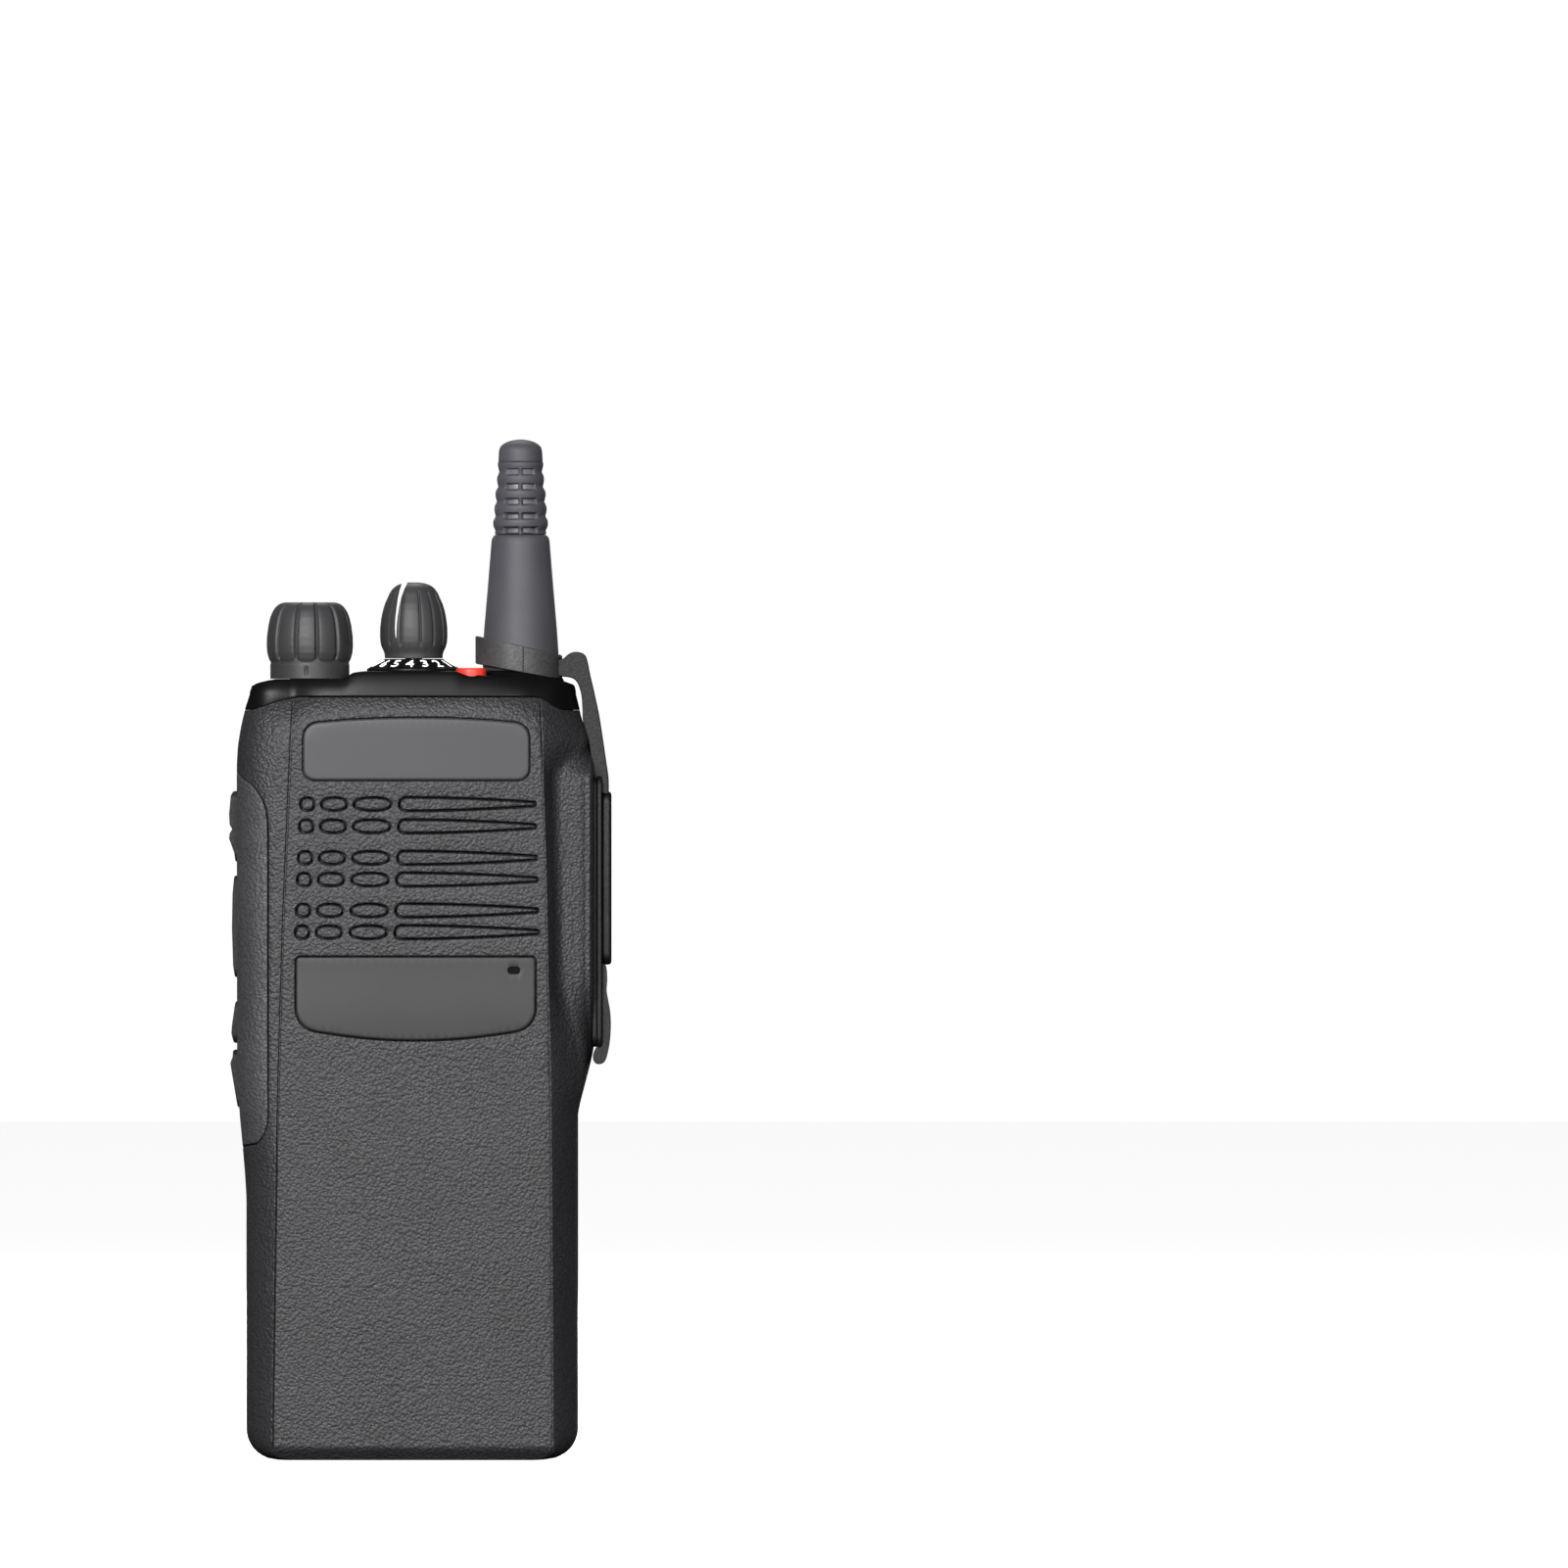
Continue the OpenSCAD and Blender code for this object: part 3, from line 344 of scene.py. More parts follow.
def arc(cx, cy, r, a0, a1, n):
    return [(cx + r * math.cos(math.radians(a0 + (a1 - a0) * i / n)), cy + r * math.sin(math.radians(a0 + (a1 - a0) * i / n)))
            for i in range(n + 1)]


def rrect(x0, y0, x1, y1, r, n=6):
    return (arc(x1 - r, y0 + r, r, -90, 0, n) + arc(x1 - r, y1 - r, r, 0, 90, n)
            + arc(x0 + r, y1 - r, r, 90, 180, n) + arc(x0 + r, y0 + r, r, 180, 270, n))


def fill(loops, steiner, holes=()):
    """Delaunay fill of the first loop, with the other loops as fixed lines and holes left open.
    Returns points, triangles and where each given point went."""
    pts, edges = [], []
    for lp in loops:
        k = len(pts)
        pts += [tuple(q) for q in lp]
        edges += [(k + i, k + (i + 1) % len(lp)) for i in range(len(lp))]
    pts += [tuple(q) for q in steiner]
    r = delaunay_2d_cdt([Vector(q) for q in pts], edges, [], 0, 1e-5)
    v = np.array([tuple(q) for q in r[0]], float)
    f = np.array([tuple(t) for t in r[2] if len(t) == 3], int)
    c = v[f].mean(1)
    keep = signed_dist(c, loops[0]) < 0
    for h in holes:
        keep &= signed_dist(c, h) > 0
    f = f[keep]
    a = v[f]
    area = (a[:, 1, 0] - a[:, 0, 0]) * (a[:, 2, 1] - a[:, 0, 1]) - (a[:, 2, 0] - a[:, 0, 0]) * (a[:, 1, 1] - a[:, 0, 1])
    f = f[np.abs(area) > 1e-9]
    where = {}
    for i, orig in enumerate(r[3]):
        for o in orig:
            where[o] = i
    return v, f, where


# ------------------------------------------------------------------ body form
def table(x, pts):
    p = np.array(pts, float)
    return np.interp(x, p[:, 0], p[:, 1])


def smooth_table(z, pts, width=1.2):
    z = np.asarray(z, float)
    w = np.array([-1, -0.5, 0, 0.5, 1]) * width
    k = np.array([1, 2, 3, 2, 1], float) / 9
    return sum(kk * table(z + ww, pts) for ww, kk in zip(w, k))


XL = [(-9, -28.95), (46, -28.95), (50, -29.2), (55, -29.62), (60, -30.1), (64, -30.4), (70, -30.58), (75, -30.6), (118, -30.65), (121.5, -30.65),
      (125, -30.45), (128.6, -29.85), (132, -29.0), (135.4, -28.1), (150, -28.0)]
XR = [(-9, 28.95), (60, 28.95), (62, 29.3), (66, 30.35), (69.5, 31.25), (72, 31.78), (121, 31.78), (123.4, 31.7), (125.5, 31.25),
      (127.5, 30.5), (128.8, 29.95), (130.4, 29.45), (132, 29.15), (134.2, 28.85), (136, 27.95), (150, 27.9)]


def foot(z, r=5.4):
    q = np.clip(r - np.asarray(z, float), 0, r)
    return r - np.sqrt(np.maximum(r * r - q * q, 0))


def xl(z):
    return smooth_table(z, XL, 1.0) + foot(z)


def xr(z):
    return smooth_table(z, XR, 0.7) - foot(z)


def el(z):
    z = np.asarray(z, float)
    e = table(z, [(-5, -24.4), (1.9, -24.3), (56.7, -23.5), (94.4, -22.4), (133.4, -20.7), (140, -20.4)])
    return np.maximum(e, xl(z) + 2.2)


def er(z):
    z = np.asarray(z, float)
    e = table(z, [(-5, 24.85), (0, 24.8), (60.1, 24.4), (101.2, 23.6), (133.4, 22.6), (140, 22.4)])
    return np.minimum(e, xr(z) - 2.2)


def front_y(z, a=0.0):
    """How far the front face falls back at the foot and at the head, more so towards the corners."""
    z = np.asarray(z, float)
    low = 127.8 - 6.0 * np.abs(a) ** 6
    return 1.75 * (1 - smoothstep(-0.6, 2.5, z)) + 1.3 * np.clip((z - low) / (5.6 + 3.0 * np.abs(a) ** 6), 0, 2.0) ** 3.0


HALF = 22.5
WL = WR = 26.0


def catmull(P, t):
    """Smooth curve through control rows P (k, n, 2) at t in 0..1 (n)."""
    k = P.shape[0]
    s = np.clip(t, 0, 1) * (k - 1)
    i = np.clip(np.floor(s).astype(int), 0, k - 2)
    u = (s - i)[:, None]
    n = np.arange(len(t))
    p1, p2 = P[i, n], P[i + 1, n]
    p0 = np.where((i > 0)[:, None], P[np.maximum(i - 1, 0), n], 2 * p1 - p2)
    p3 = np.where((i < k - 2)[:, None], P[np.minimum(i + 2, k - 1), n], 2 * p2 - p1)
    return 0.5 * ((2 * p1) + (-p0 + p2) * u + (2 * p0 - 5 * p1 + 4 * p2 - p3) * u ** 2 + (-p0 + 3 * p1 - 3 * p2 + p3) * u ** 3)


def base(A, z):
    """Outer surface of the front housing. A runs round it (front face -22.5 to 22.5), z is the height."""
    A = np.asarray(A, float)
    z = np.broadcast_to(np.asarray(z, float), A.shape).astype(float)
    e0, e1 = el(z), er(z)
    a = np.clip(A / HALF, -1, 1)
    fy = front_y(z, a)
    x = (e0 + e1) / 2 + a * (e1 - e0) / 2
    y = YF + 0.4 * a * a + fy
    ye = YF + 0.4 + fy
    # left: soft rounded corner, then straight back
    L = A < -HALF
    if L.any():
        t = (-HALF - A[L]) / WL
        zz, xx, ee, yy = z[L], xl(z[L]), e0[L], ye[L]
        p0 = np.radians(57 - 51 * smoothstep(38, 74, zz) + 10 * smoothstep(118, 132, zz))
        ph = p0 + (math.pi / 2 - p0) * np.clip(t / 0.46, 0, 1)
        b = (-10.9 - yy)
        cx = ee + (xx - ee) * (np.sin(ph) - np.sin(p0)) / (1 - np.sin(p0))
        cy = yy + b * (1 - np.cos(ph) / np.cos(p0)) ** (1 + 0.22 * smoothstep(48, 80, zz))
        s = np.clip((t - 0.46) / 0.54, 0, 1)
        cy = np.where(t > 0.46, cy + (3.0 - cy) * s, cy)
        x[L], y[L] = cx, cy
    R = A > HALF
    if R.any():
        t = (A[R] - HALF) / WR
        zz, xx, ee, yy = z[R], xr(z[R]), e1[R], ye[R]
        n = len(t)
        o = np.ones(n)
        low = np.stack([np.stack(p, 1) for p in [
            (ee, yy), (ee + (xx - ee) * 0.26, yy + 1.5), (ee + (xx - ee) * 0.54, yy + 3.5), (ee + (xx - ee) * 0.80, yy + 5.7),
            (xx - 0.10, yy + 8.0), (xx, -6.5 * o), (xx, -2.0 * o), (xx, 3.0 * o)]])
        pod = np.stack([np.stack(p, 1) for p in [
            (ee, yy), (ee + 0.80, yy + 1.45), (ee + 1.6, yy + 2.9), (ee + 2.6, yy + 3.7),
            (ee + 4.3, yy + 3.95), (xx - 1.5, yy + 4.35), (xx - 0.1, yy + 6.2), (xx, 3.0 * o)]])
        w = (smoothstep(61, 86, zz) * (1 - smoothstep(119.0, 127.5, zz)))[:, None]
        P = low * (1 - w) + pod * w
        q = catmull(P, t)
        x[R], y[R] = q[:, 0], q[:, 1]
    return np.stack([x, y, z], 1)


def surf(A, z, d=0.0):
    """Point d mm under the surface."""
    A = np.atleast_1d(np.asarray(A, float))
    z = np.broadcast_to(np.asarray(z, float), A.shape).astype(float)
    h = 0.12
    p = base(A, z)
    ta = base(A + h, z) - base(A - h, z)
    tz = base(A, z + h) - base(A, z - h)
    n = np.cross(ta, tz)
    n /= np.maximum(np.linalg.norm(n, axis=1), 1e-9)[:, None]
    return p - n * np.broadcast_to(np.asarray(d, float), A.shape)[:, None]


def to_a(xz):
    """Front-face outline in x, z to sheet coordinates."""
    q = np.asarray(xz, float)
    e0, e1 = el(q[:, 1]), er(q[:, 1])
    return np.stack([(q[:, 0] - (e0 + e1) / 2) / ((e1 - e0) / 2) * HALF, q[:, 1]], 1)


# ------------------------------------------------------------------ outlines
def plate(x0, x1, z0, z1, rb, rt, sb, st):
    m, h = (x0 + x1) / 2, (x1 - x0) / 2
    p = arc(x0 + rb, z0 + sb + rb, rb, 180, 264, 9)
    p += [(x, z0 + sb * ((x - m) / (h - rb)) ** 2) for x in np.linspace(x0 + rb, x1 - rb, 14)[1:-1]]
    p += arc(x1 - rb, z0 + sb + rb, rb, 276, 360, 9)
    p += arc(x1 - rt, z1 - st - rt, rt, 0, 86, 7)
    p += [(x, z1 - st * ((x - m) / (h - rt)) ** 2) for x in np.linspace(x1 - rt, x0 + rt, 14)[1:-1]]
    p += arc(x0 + rt, z1 - st - rt, rt, 94, 180, 7)
    return p


upper_loop = resample(plate(-19.1, 20.8, 118.7, 130.0, 2.2, 2.9, 0.0, 0.8), 0.45)
lower_loop = resample(plate(-20.4, 21.9, 73.2, 88.2, 4.3, 0.9, 1.5, 0.0), 0.45)
ROWS = [114.7, 110.8, 105.3, 101.5, 96.1, 92.3]


def oval(cx, cz, w, h, p=0.86):
    return [(cx + w / 2 * math.copysign(abs(math.cos(t)) ** p, math.cos(t)), cz + h / 2 * math.copysign(abs(math.sin(t)) ** p, math.sin(t)))
            for t in np.linspace(0, 2 * math.pi, 96, endpoint=False)]


def dagger(x0, x1, cz, rl, rt):
    """Long pad: full and round at the left, its sides drawing in to a small tip at the right."""
    n = 26
    top, bot = [], []
    for i in range(n + 1):
        u = i / n
        x = x0 + rl * 0.95 + (x1 - rt - x0 - rl * 0.95) * u
        h = rl + (rt - rl) * (u ** 1.9)
        top.append((x, cz + h))
        bot.append((x, cz - h))
    left = arc(x0 + rl * 0.95, cz, rl, 96, 264, 14)
    left = [(x0 + rl * 0.95 + (px - x0 - rl * 0.95) * 0.95, pz) for px, pz in left]
    right = arc(x1 - rt, cz, rt, -84, 84, 8)
    return left + bot + right + top[::-1]


pads = []
for k, rz in enumerate(ROWS):
    f = k / 5
    pads.append((resample(oval(-18.2 - 0.9 * f, rz, 2.75, 2.6), 0.28)))
    pads.append((resample(oval(-13.5 - 0.9 * f, rz, 4.8, 2.6), 0.32)))
    pads.append((resample(oval(-6.8 - 0.7 * f, rz, 6.8, 2.65), 0.34)))
    pads.append((resample(dagger(-2.3 - 0.8 * f, 21.9 + 0.6 * f, rz, 1.36, 0.52), 0.42)))


# side key bezel outline, drawn on the housing: front line x by height, back line at y -1.6
def left_a_of_x(x, z):
    """Sheet coordinate on the left corner where the surface reaches x."""
    A = np.linspace(-HALF, -HALF - 0.46 * WL, 160)
    q = base(A, np.full_like(A, z))
    return float(np.interp(-x, -q[:, 0], A))


def left_a_of_y(y, z):
    A = np.linspace(-HALF - 0.40 * WL, -HALF - WL, 120)
    q = base(A, np.full_like(A, z))
    return float(np.interp(y, q[:, 1], A))


BEZ_FRONT = [(57.4, -25.6), (58.6, -25.15), (61, -25.0), (66, -25.0), (80, -25.0), (95, -25.0), (108, -25.0), (111.5, -25.05), (113.8, -25.35),
             (115.8, -26.1), (117.2, -27.1), (118.4, -28.2)]
bez = []
for zz, xx in BEZ_FRONT:
    bez.append((left_a_of_x(xx, zz), zz))
a_top = left_a_of_y(-9.5, 121)
a_back = left_a_of_y(-1.6, 100)
bez += [((bez[-1][0] + a_top) / 2, 120.0), (a_top, 120.9), (a_top - 2, 121.3), (a_back + 1.2, 121.3), (a_back + 0.3, 120.8), (a_back, 119.8),
        (a_back, 110), (a_back, 90), (a_back, 70), (a_back, 56.0), (a_back + 0.3, 54.9), (a_back + 1.2, 54.4), (a_top - 2, 54.2),
        (a_top, 54.4), (bez[0][0] - 2.2, 55.2), (bez[0][0] - 0.8, 56.1)]
bezel_loop = resample(bez, 0.5)
key_spans = [(104.6, 117.0), (84.4, 102.2), (72.9, 80.2), (61.6, 71.7)]
a_k0, a_k1 = left_a_of_y(-10.0, 90), left_a_of_y(-2.4, 90)
key_loops = [resample(rrect(min(a_k0, a_k1) - 0.15, z0 - 0.15, max(a_k0, a_k1) + 0.15, z1 + 0.15, 1.7), 0.45) for z0, z1 in key_spans]


# ------------------------------------------------------------------ sheet builder
def sheet_mesh(outer, rings, holes, steiner, depth_at, extra_lines=()):
    """rings: list of (loop, depth). Returns the flat points, faces, their depths and where each given point went."""
    loops = [outer] + [r[0] for r in rings] + [h for h in extra_lines]
    v, f, where = fill(loops, steiner, holes)
    d = depth_at(v)
    k = len(outer)
    for lp, dep in rings:
        for i in range(len(lp)):
            d[where[k + i]] = dep
        k += len(lp)
    return v, f, d, where


def grid_points(A0, A1, z0, z1, da, dz, tables=()):
    aa = np.arange(A0 + da / 2, A1, da)
    zz = np.arange(z0 + dz / 2, z1, dz)
    g = np.stack(np.meshgrid(aa, zz), -1).reshape(-1, 2)
    g[:, 0] += (np.floor((g[:, 1] - z0) / dz) % 2) * da * 0.5
    return g[(g[:, 0] > A0) & (g[:, 0] < A1)]


TOP = 133.36


def head(A):
    """Upper end of the housing skin: level at the front, lower round the corners and sides."""
    return TOP - 2.2 * smoothstep(21.0, 31.0, np.abs(A))


A_MIN, A_MAX = -HALF - WL, HALF + WR

# housing outer sheet
zs_dense = np.concatenate([[0.0, 0.2, 0.5, 0.9, 1.4, 1.9, 2.4, 3.0, 3.8, 4.6, 5.4], np.arange(6.4, 132.6, 1.0), [132.8, 133.1, TOP]])
zs_side = np.concatenate([zs_dense[zs_dense < 130.8], [float(head(A_MAX))]])
a_side = np.concatenate([np.linspace(A_MIN, -HALF, 40), np.linspace(-HALF, HALF, 44)[1:-1], np.linspace(HALF, A_MAX, 44)])
outer = ([(a, 0.0) for a in a_side] + [(A_MAX, z) for z in zs_side[1:]] + [(a, float(head(a))) for a in a_side[::-1][1:]]
         + [(A_MIN, z) for z in zs_side[::-1][1:-1]])
outer = np.array(outer)

rings, holes = [], []
feature = []           # (outline in sheet coordinates, reach outside, inside depth)


def recess(loop_xz, depth, edge=0.14):
    lp = to_a(loop_xz)
    for off, dep in [(edge, 0.0), (edge * 0.35, 0.03), (0.0, 0.12)]:
        rings.append((offset_poly(lp, off), dep))
    rings.append((offset_poly(lp, -0.03), depth * 0.8))
    rings.append((offset_poly(lp, -0.12), depth))
    feature.append((lp, 0.5, depth))


recess(upper_loop, 0.62)
recess(lower_loop, 1.0)
for lp in pads:
    q = to_a(lp)
    for off, dep in [(0.20, 0.0), (0.09, 0.035), (0.02, 0.13), (0.0, 0.3)]:
        rings.append((offset_poly(q, off), dep))
    inner = offset_poly(q, -0.02)
    rings.append((inner, 1.9))
    holes.append(inner)
    feature.append((q, 0.4, 1.9))
for off, dep in [(0.16, 0.0), (0.06, 0.04), (0.0, 0.16)]:
    rings.append((offset_poly(bezel_loop, off), dep))
bez_in = offset_poly(bezel_loop, -0.03)
rings.append((bez_in, 1.3))
holes.append(bez_in)
feature.append((bezel_loop, 0.45, 1.3))

# edge grooves of the front face: upright lines with their own depths
g_rows = np.concatenate([[0.5, 1.4, 2.4], np.arange(3.4, 132.9, 0.8)])
lines = []
for s in (-1, 1):
    for off, dep in [(-0.36, 0.0), (-0.20, 0.06), (-0.11, 0.55), (0.11, 0.55), (0.20, 0.07), (0.36, 0.0)]:
        lines.append((s * HALF + off, dep))
st = [grid_points(A_MIN, -HALF - 0.5, 0.0, TOP, 0.75, 1.3), grid_points(-HALF + 0.6, HALF - 0.6, 0.0, TOP, 1.6, 1.6),
      grid_points(HALF + 0.5, A_MAX, 0.0, TOP, 0.6, 1.1),
      grid_points(A_MIN, A_MAX, 0.05, 5.2, 0.8, 0.45), grid_points(A_MIN, A_MAX, 125.5, TOP, 1.2, 0.8),
      grid_points(HALF + 0.5, A_MAX, 118, 129, 0.6, 0.6)]
st = np.vstack(st)
keep = (np.abs(np.abs(st[:, 0]) - HALF) > 0.55) & (st[:, 1] < head(st[:, 0]) - 0.25)
for lp, reach, dep in feature:
    lo, hi = lp.min(0) - 1.2, lp.max(0) + 1.2
    idx = np.where(keep & np.all((st > lo) & (st < hi), axis=1))[0]
    if len(idx):
        sd = signed_dist(st[idx], lp)
        keep[idx[(np.abs(sd) < reach)]] = False
for lp in [f_[0] for f_ in feature if f_[2] >= 1.3]:
    lo, hi = lp.min(0), lp.max(0)
    idx = np.where(keep & np.all((st > lo) & (st < hi), axis=1))[0]
    if len(idx):
        keep[idx[signed_dist(st[idx], lp) < 0]] = False
st = st[keep]
gl = np.array([(a, z) for a, _ in lines for z in g_rows])
gd = np.array([dep * float(smoothstep(0, 3, z)) for _, dep in lines for z in g_rows])
st_all = np.vstack([st, gl])


def housing_depth(v):
    d = np.zeros(len(v))
    for lp, reach, dep in feature[:2]:
        lo, hi = lp.min(0), lp.max(0)
        idx = np.where(np.all((v > lo) & (v < hi), axis=1))[0]
        if len(idx):
            d[idx[signed_dist(v[idx], lp) < -0.2]] = dep
    return d


nring = len(outer) + sum(len(r[0]) for r in rings)
v, f, d, where = sheet_mesh(outer, rings, holes, st_all, housing_depth)
for i, dep in enumerate(gd):
    d[where[nring + len(st) + i]] = dep
# walls run along the surface normal; at the grille that is nearly straight in along y
P = surf(v[:, 0], v[:, 1], d)
verts = [tuple(p) for p in P]
faces = [tuple(t) for t in f]


def strip(a_idx, pts3):
    """Adds a band from existing vertices to new points, one to one."""
    k = len(verts)
    verts.extend(tuple(p) for p in pts3)
    n = len(a_idx)
    for i in range(n - 1):
        faces.append((a_idx[i], a_idx[i + 1], k + i + 1, k + i))
    return list(range(k, k + n))


# back rim: rolls inwards to the inner wall, both sides; head: a small step under the cover
idx_r = [where[len(a_side) - 1 + i] for i in range(len(zs_side))]
idx_l = [where[(len(outer) - i) % len(outer)] for i in range(len(zs_side))]
for idx, s in ((idx_r, -1), (idx_l, 1)):
    p = P[idx]
    z_in = np.clip(p[:, 2], 0, TOP)
    q1 = np.stack([p[:, 0] + s * 0.25, np.full(len(p), 3.0), z_in], 1)
    q1[:, 1] = 3.0
    m1 = strip(idx, q1 + np.array([0, 0.0, 0]))
    xin = np.where(s < 0, np.minimum(p[:, 0] - 1.9, 26.95), np.maximum(p[:, 0] + 1.9, -26.95))
    m2 = strip(m1, np.stack([xin, np.full(len(p), 3.0), z_in], 1))
    strip(m2, np.stack([xin, np.full(len(p), -1.0), z_in], 1))
idx_t = [where[len(a_side) - 1 + len(zs_side) - 1 + i] for i in range(len(a_side))]
pt = P[idx_t]
cen = np.array([0.5, -6.0, 0])
for k_, (ins, dz) in enumerate([(0.12, 0.0), (1.15, 0.0), (1.2, 0.7), (4.0, 0.75)]):
    dirv = (cen - pt) * np.array([1, 1, 0])
    dirv /= np.linalg.norm(dirv, axis=1)[:, None]
    q = pt + dirv * ins
    q[:, 2] = pt[:, 2] + dz
    idx_t = strip(idx_t, q)
# underside with the latch slot
idx_b = [where[i] for i in range(len(a_side))]
pb = P[idx_b]
bo = np.array([(p[0], p[1]) for p in pb] + [(x, 3.0) for x in np.linspace(pb[-1][0], pb[0][0], 24)[1:-1]])
slot_loop = np.array(rrect(-7, -7, 7, -1, 0.5, 3))
bv, bf, bw = fill([ccw(bo), ccw(offset_poly(slot_loop, 0.15)), ccw(slot_loop)], grid_points(-26, 26, -17, 2.6, 3, 3)[
    signed_dist(grid_points(-26, 26, -17, 2.6, 3, 3), ccw(bo)) < -1.0], [ccw(slot_loop)])
k = len(verts)
sd = signed_dist(bv, slot_loop)
verts.extend((x, y, 0.0 + (0.12 if s_ < 0.05 else 0.0)) for (x, y), s_ in zip(bv, sd))
faces.extend(tuple(k + i for i in t) for t in bf)
ls = ccw(slot_loop)
k0 = len(verts)
verts.extend((x, y, 0.12) for x, y in ls)
verts.extend((x, y, 2.0) for x, y in ls)
n = len(ls)
faces.extend((k0 + i, k0 + (i + 1) % n, k0 + n + (i + 1) % n, k0 + n + i) for i in range(n))
housing = fix_normals(add_obj("front_housing_skin", verts, faces, M["housing"]))
weighted(housing, 50)
place(housing, "housing", "front_housing")

# ------------------------------------------------------------------ grille pads and their back plate
verts, faces = [], []


def cap_loop(loop_a, prof, spacing, out_v, out_f, back=None, dfun=None, edge_keep=0.25):
    """Adds a raised cap bounded by loop_a. prof: (inset, depth) from the wall foot to the face."""
    foot_d = prof[0][1]
    rings_ = [(offset_poly(loop_a, -ins), dep) for ins, dep in prof[1:]]
    lo, hi = loop_a.min(0), loop_a.max(0)
    g = grid_points(lo[0], hi[0], lo[1], hi[1], spacing, spacing)
    last = rings_[-1][0]
    if len(g):
        g = g[signed_dist(g, last) < -edge_keep]
    loops = [r[0] for r in rings_]
    v_, f_, w_ = fill(loops, g if len(g) else [], [])
    dep = np.full(len(v_), rings_[-1][1], float)
    kk = 0
    for lp, de in rings_:
        for i in range(len(lp)):
            dep[w_[kk + i]] = de
        kk += len(lp)
    if dfun is not None:
        dep = dep + dfun(v_)
    Pq = surf(v_[:, 0], v_[:, 1], dep)
    k_ = len(out_v)
    out_v.extend(tuple(p) for p in Pq)
    out_f.extend(tuple(k_ + i for i in t) for t in f_)
    # wall down to the foot
    ring0 = [w_[i] for i in range(len(rings_[0][0]))]
    lp0 = rings_[0][0]
    fd = foot_d if dfun is None else foot_d + dfun(lp0)
    low = surf(lp0[:, 0], lp0[:, 1], fd)
    kl = len(out_v)
    out_v.extend(tuple(p) for p in low)
    m = len(ring0)
    for i in range(m):
        out_f.append((k_ + ring0[i], kl + i, kl + (i + 1) % m, k_ + ring0[(i + 1) % m]))
    return list(range(kl, kl + m))


for lp in pads:
    q = offset_poly(to_a(lp), -0.36)
    idx = cap_loop(q, [(0, 2.0), (0.0, 0.24), (0.04, 0.10), (0.13, 0.03), (0.26, 0.015)], 0.9, verts, faces)
    faces.append(tuple(idx[::-1]))
k = len(verts)
plate_loop = np.array(rrect(-20.9, 90.0, 24.0, 117.0, 1.5, 5))
for yy in (YF + 2.02, YF + 2.8):
    verts.extend((x, yy, z) for x, z in plate_loop)
n = len(plate_loop)
faces.append(tuple(range(k, k + n)))
faces.append(tuple(range(k + 2 * n - 1, k + n - 1, -1)))
faces.extend((k + i, k + (i + 1) % n, k + n + (i + 1) % n, k + n + i) for i in range(n))
grille = fix_normals(add_obj("grille_pads", verts, faces, M["housing"]))
weighted(grille, 50)
place(grille, "housing", "grille_insert")

# ------------------------------------------------------------------ nameplates
verts, faces = [], []
idx = cap_loop(offset_poly(to_a(upper_loop), -0.24), [(0, 0.62), (0.0, 0.22), (0.05, 0.10), (0.16, 0.035), (0.4, 0.01)], 1.4, verts, faces)
faces.append(tuple(idx[::-1]))
o = weighted(fix_normals(add_obj("upper_plate", verts, faces, M["nameplate"])), 60)
place(o, "nameplate", "upper_nameplate")

verts, faces = [], []
mic = to_a(np.array(resample(rrect(16.9, 85.05, 18.95, 86.2, 0.45, 4), 0.22)))


def lower_tilt(p):
    return 0.10 + 0.42 * smoothstep(76, 89, p[:, 1])


lp = offset_poly(to_a(lower_loop), -0.24)
rl = [(offset_poly(lp, -i_), d_) for i_, d_ in [(0.0, 0.22), (0.05, 0.10), (0.16, 0.035), (0.4, 0.0)]]
rl += [(offset_poly(mic, 0.14), 0.0), (offset_poly(mic, 0.04), 0.04), (mic, 0.14)]
g = grid_points(lp[:, 0].min(), lp[:, 0].max(), 73, 89, 1.4, 1.4)
g = g[(signed_dist(g, lp) < -0.7) & (signed_dist(g, mic) > 0.5)]
v_, f_, w_ = fill([r[0] for r in rl], g, [mic])
dep = np.zeros(len(v_))
kk = 0
ring_idx = []
for l_, de in rl:
    ring_idx.append([w_[kk + i] for i in range(len(l_))])
    for i in range(len(l_)):
        dep[w_[kk + i]] = de
    kk += len(l_)
verts = [tuple(p) for p in surf(v_[:, 0], v_[:, 1], dep + lower_tilt(v_))]
faces = [tuple(t) for t in f_]
for loop_, idx_, fd in ((rl[0][0], ring_idx[0], 1.05), (mic, ring_idx[-1], 1.05)):
    k = len(verts)
    verts.extend(tuple(p) for p in surf(loop_[:, 0], loop_[:, 1], fd))
    n = len(idx_)
    faces.extend((idx_[i], idx_[(i + 1) % n], k + (i + 1) % n, k + i) for i in range(n))
# the lower plate wears the painted-shade copy of the nameplate material
o = weighted(fix_normals(add_obj("lower_plate", verts, faces, M["nameplate_low"])), 60)
place(o, "nameplate", "lower_nameplate")

gv = surf(*to_a(np.array(rrect(16.7, 84.85, 19.15, 86.4, 0.5, 4))).T, 0.9)
o = add_obj("mic_gauze", list(gv) + [tuple(p + np.array([0, 0.08, 0])) for p in gv],
            [tuple(range(len(gv))), tuple(range(2 * len(gv) - 1, len(gv) - 1, -1))]
            + [(i, (i + 1) % len(gv), len(gv) + (i + 1) % len(gv), len(gv) + i) for i in range(len(gv))], M["felt"], smooth=False)
place(fix_normals(o), "felt")

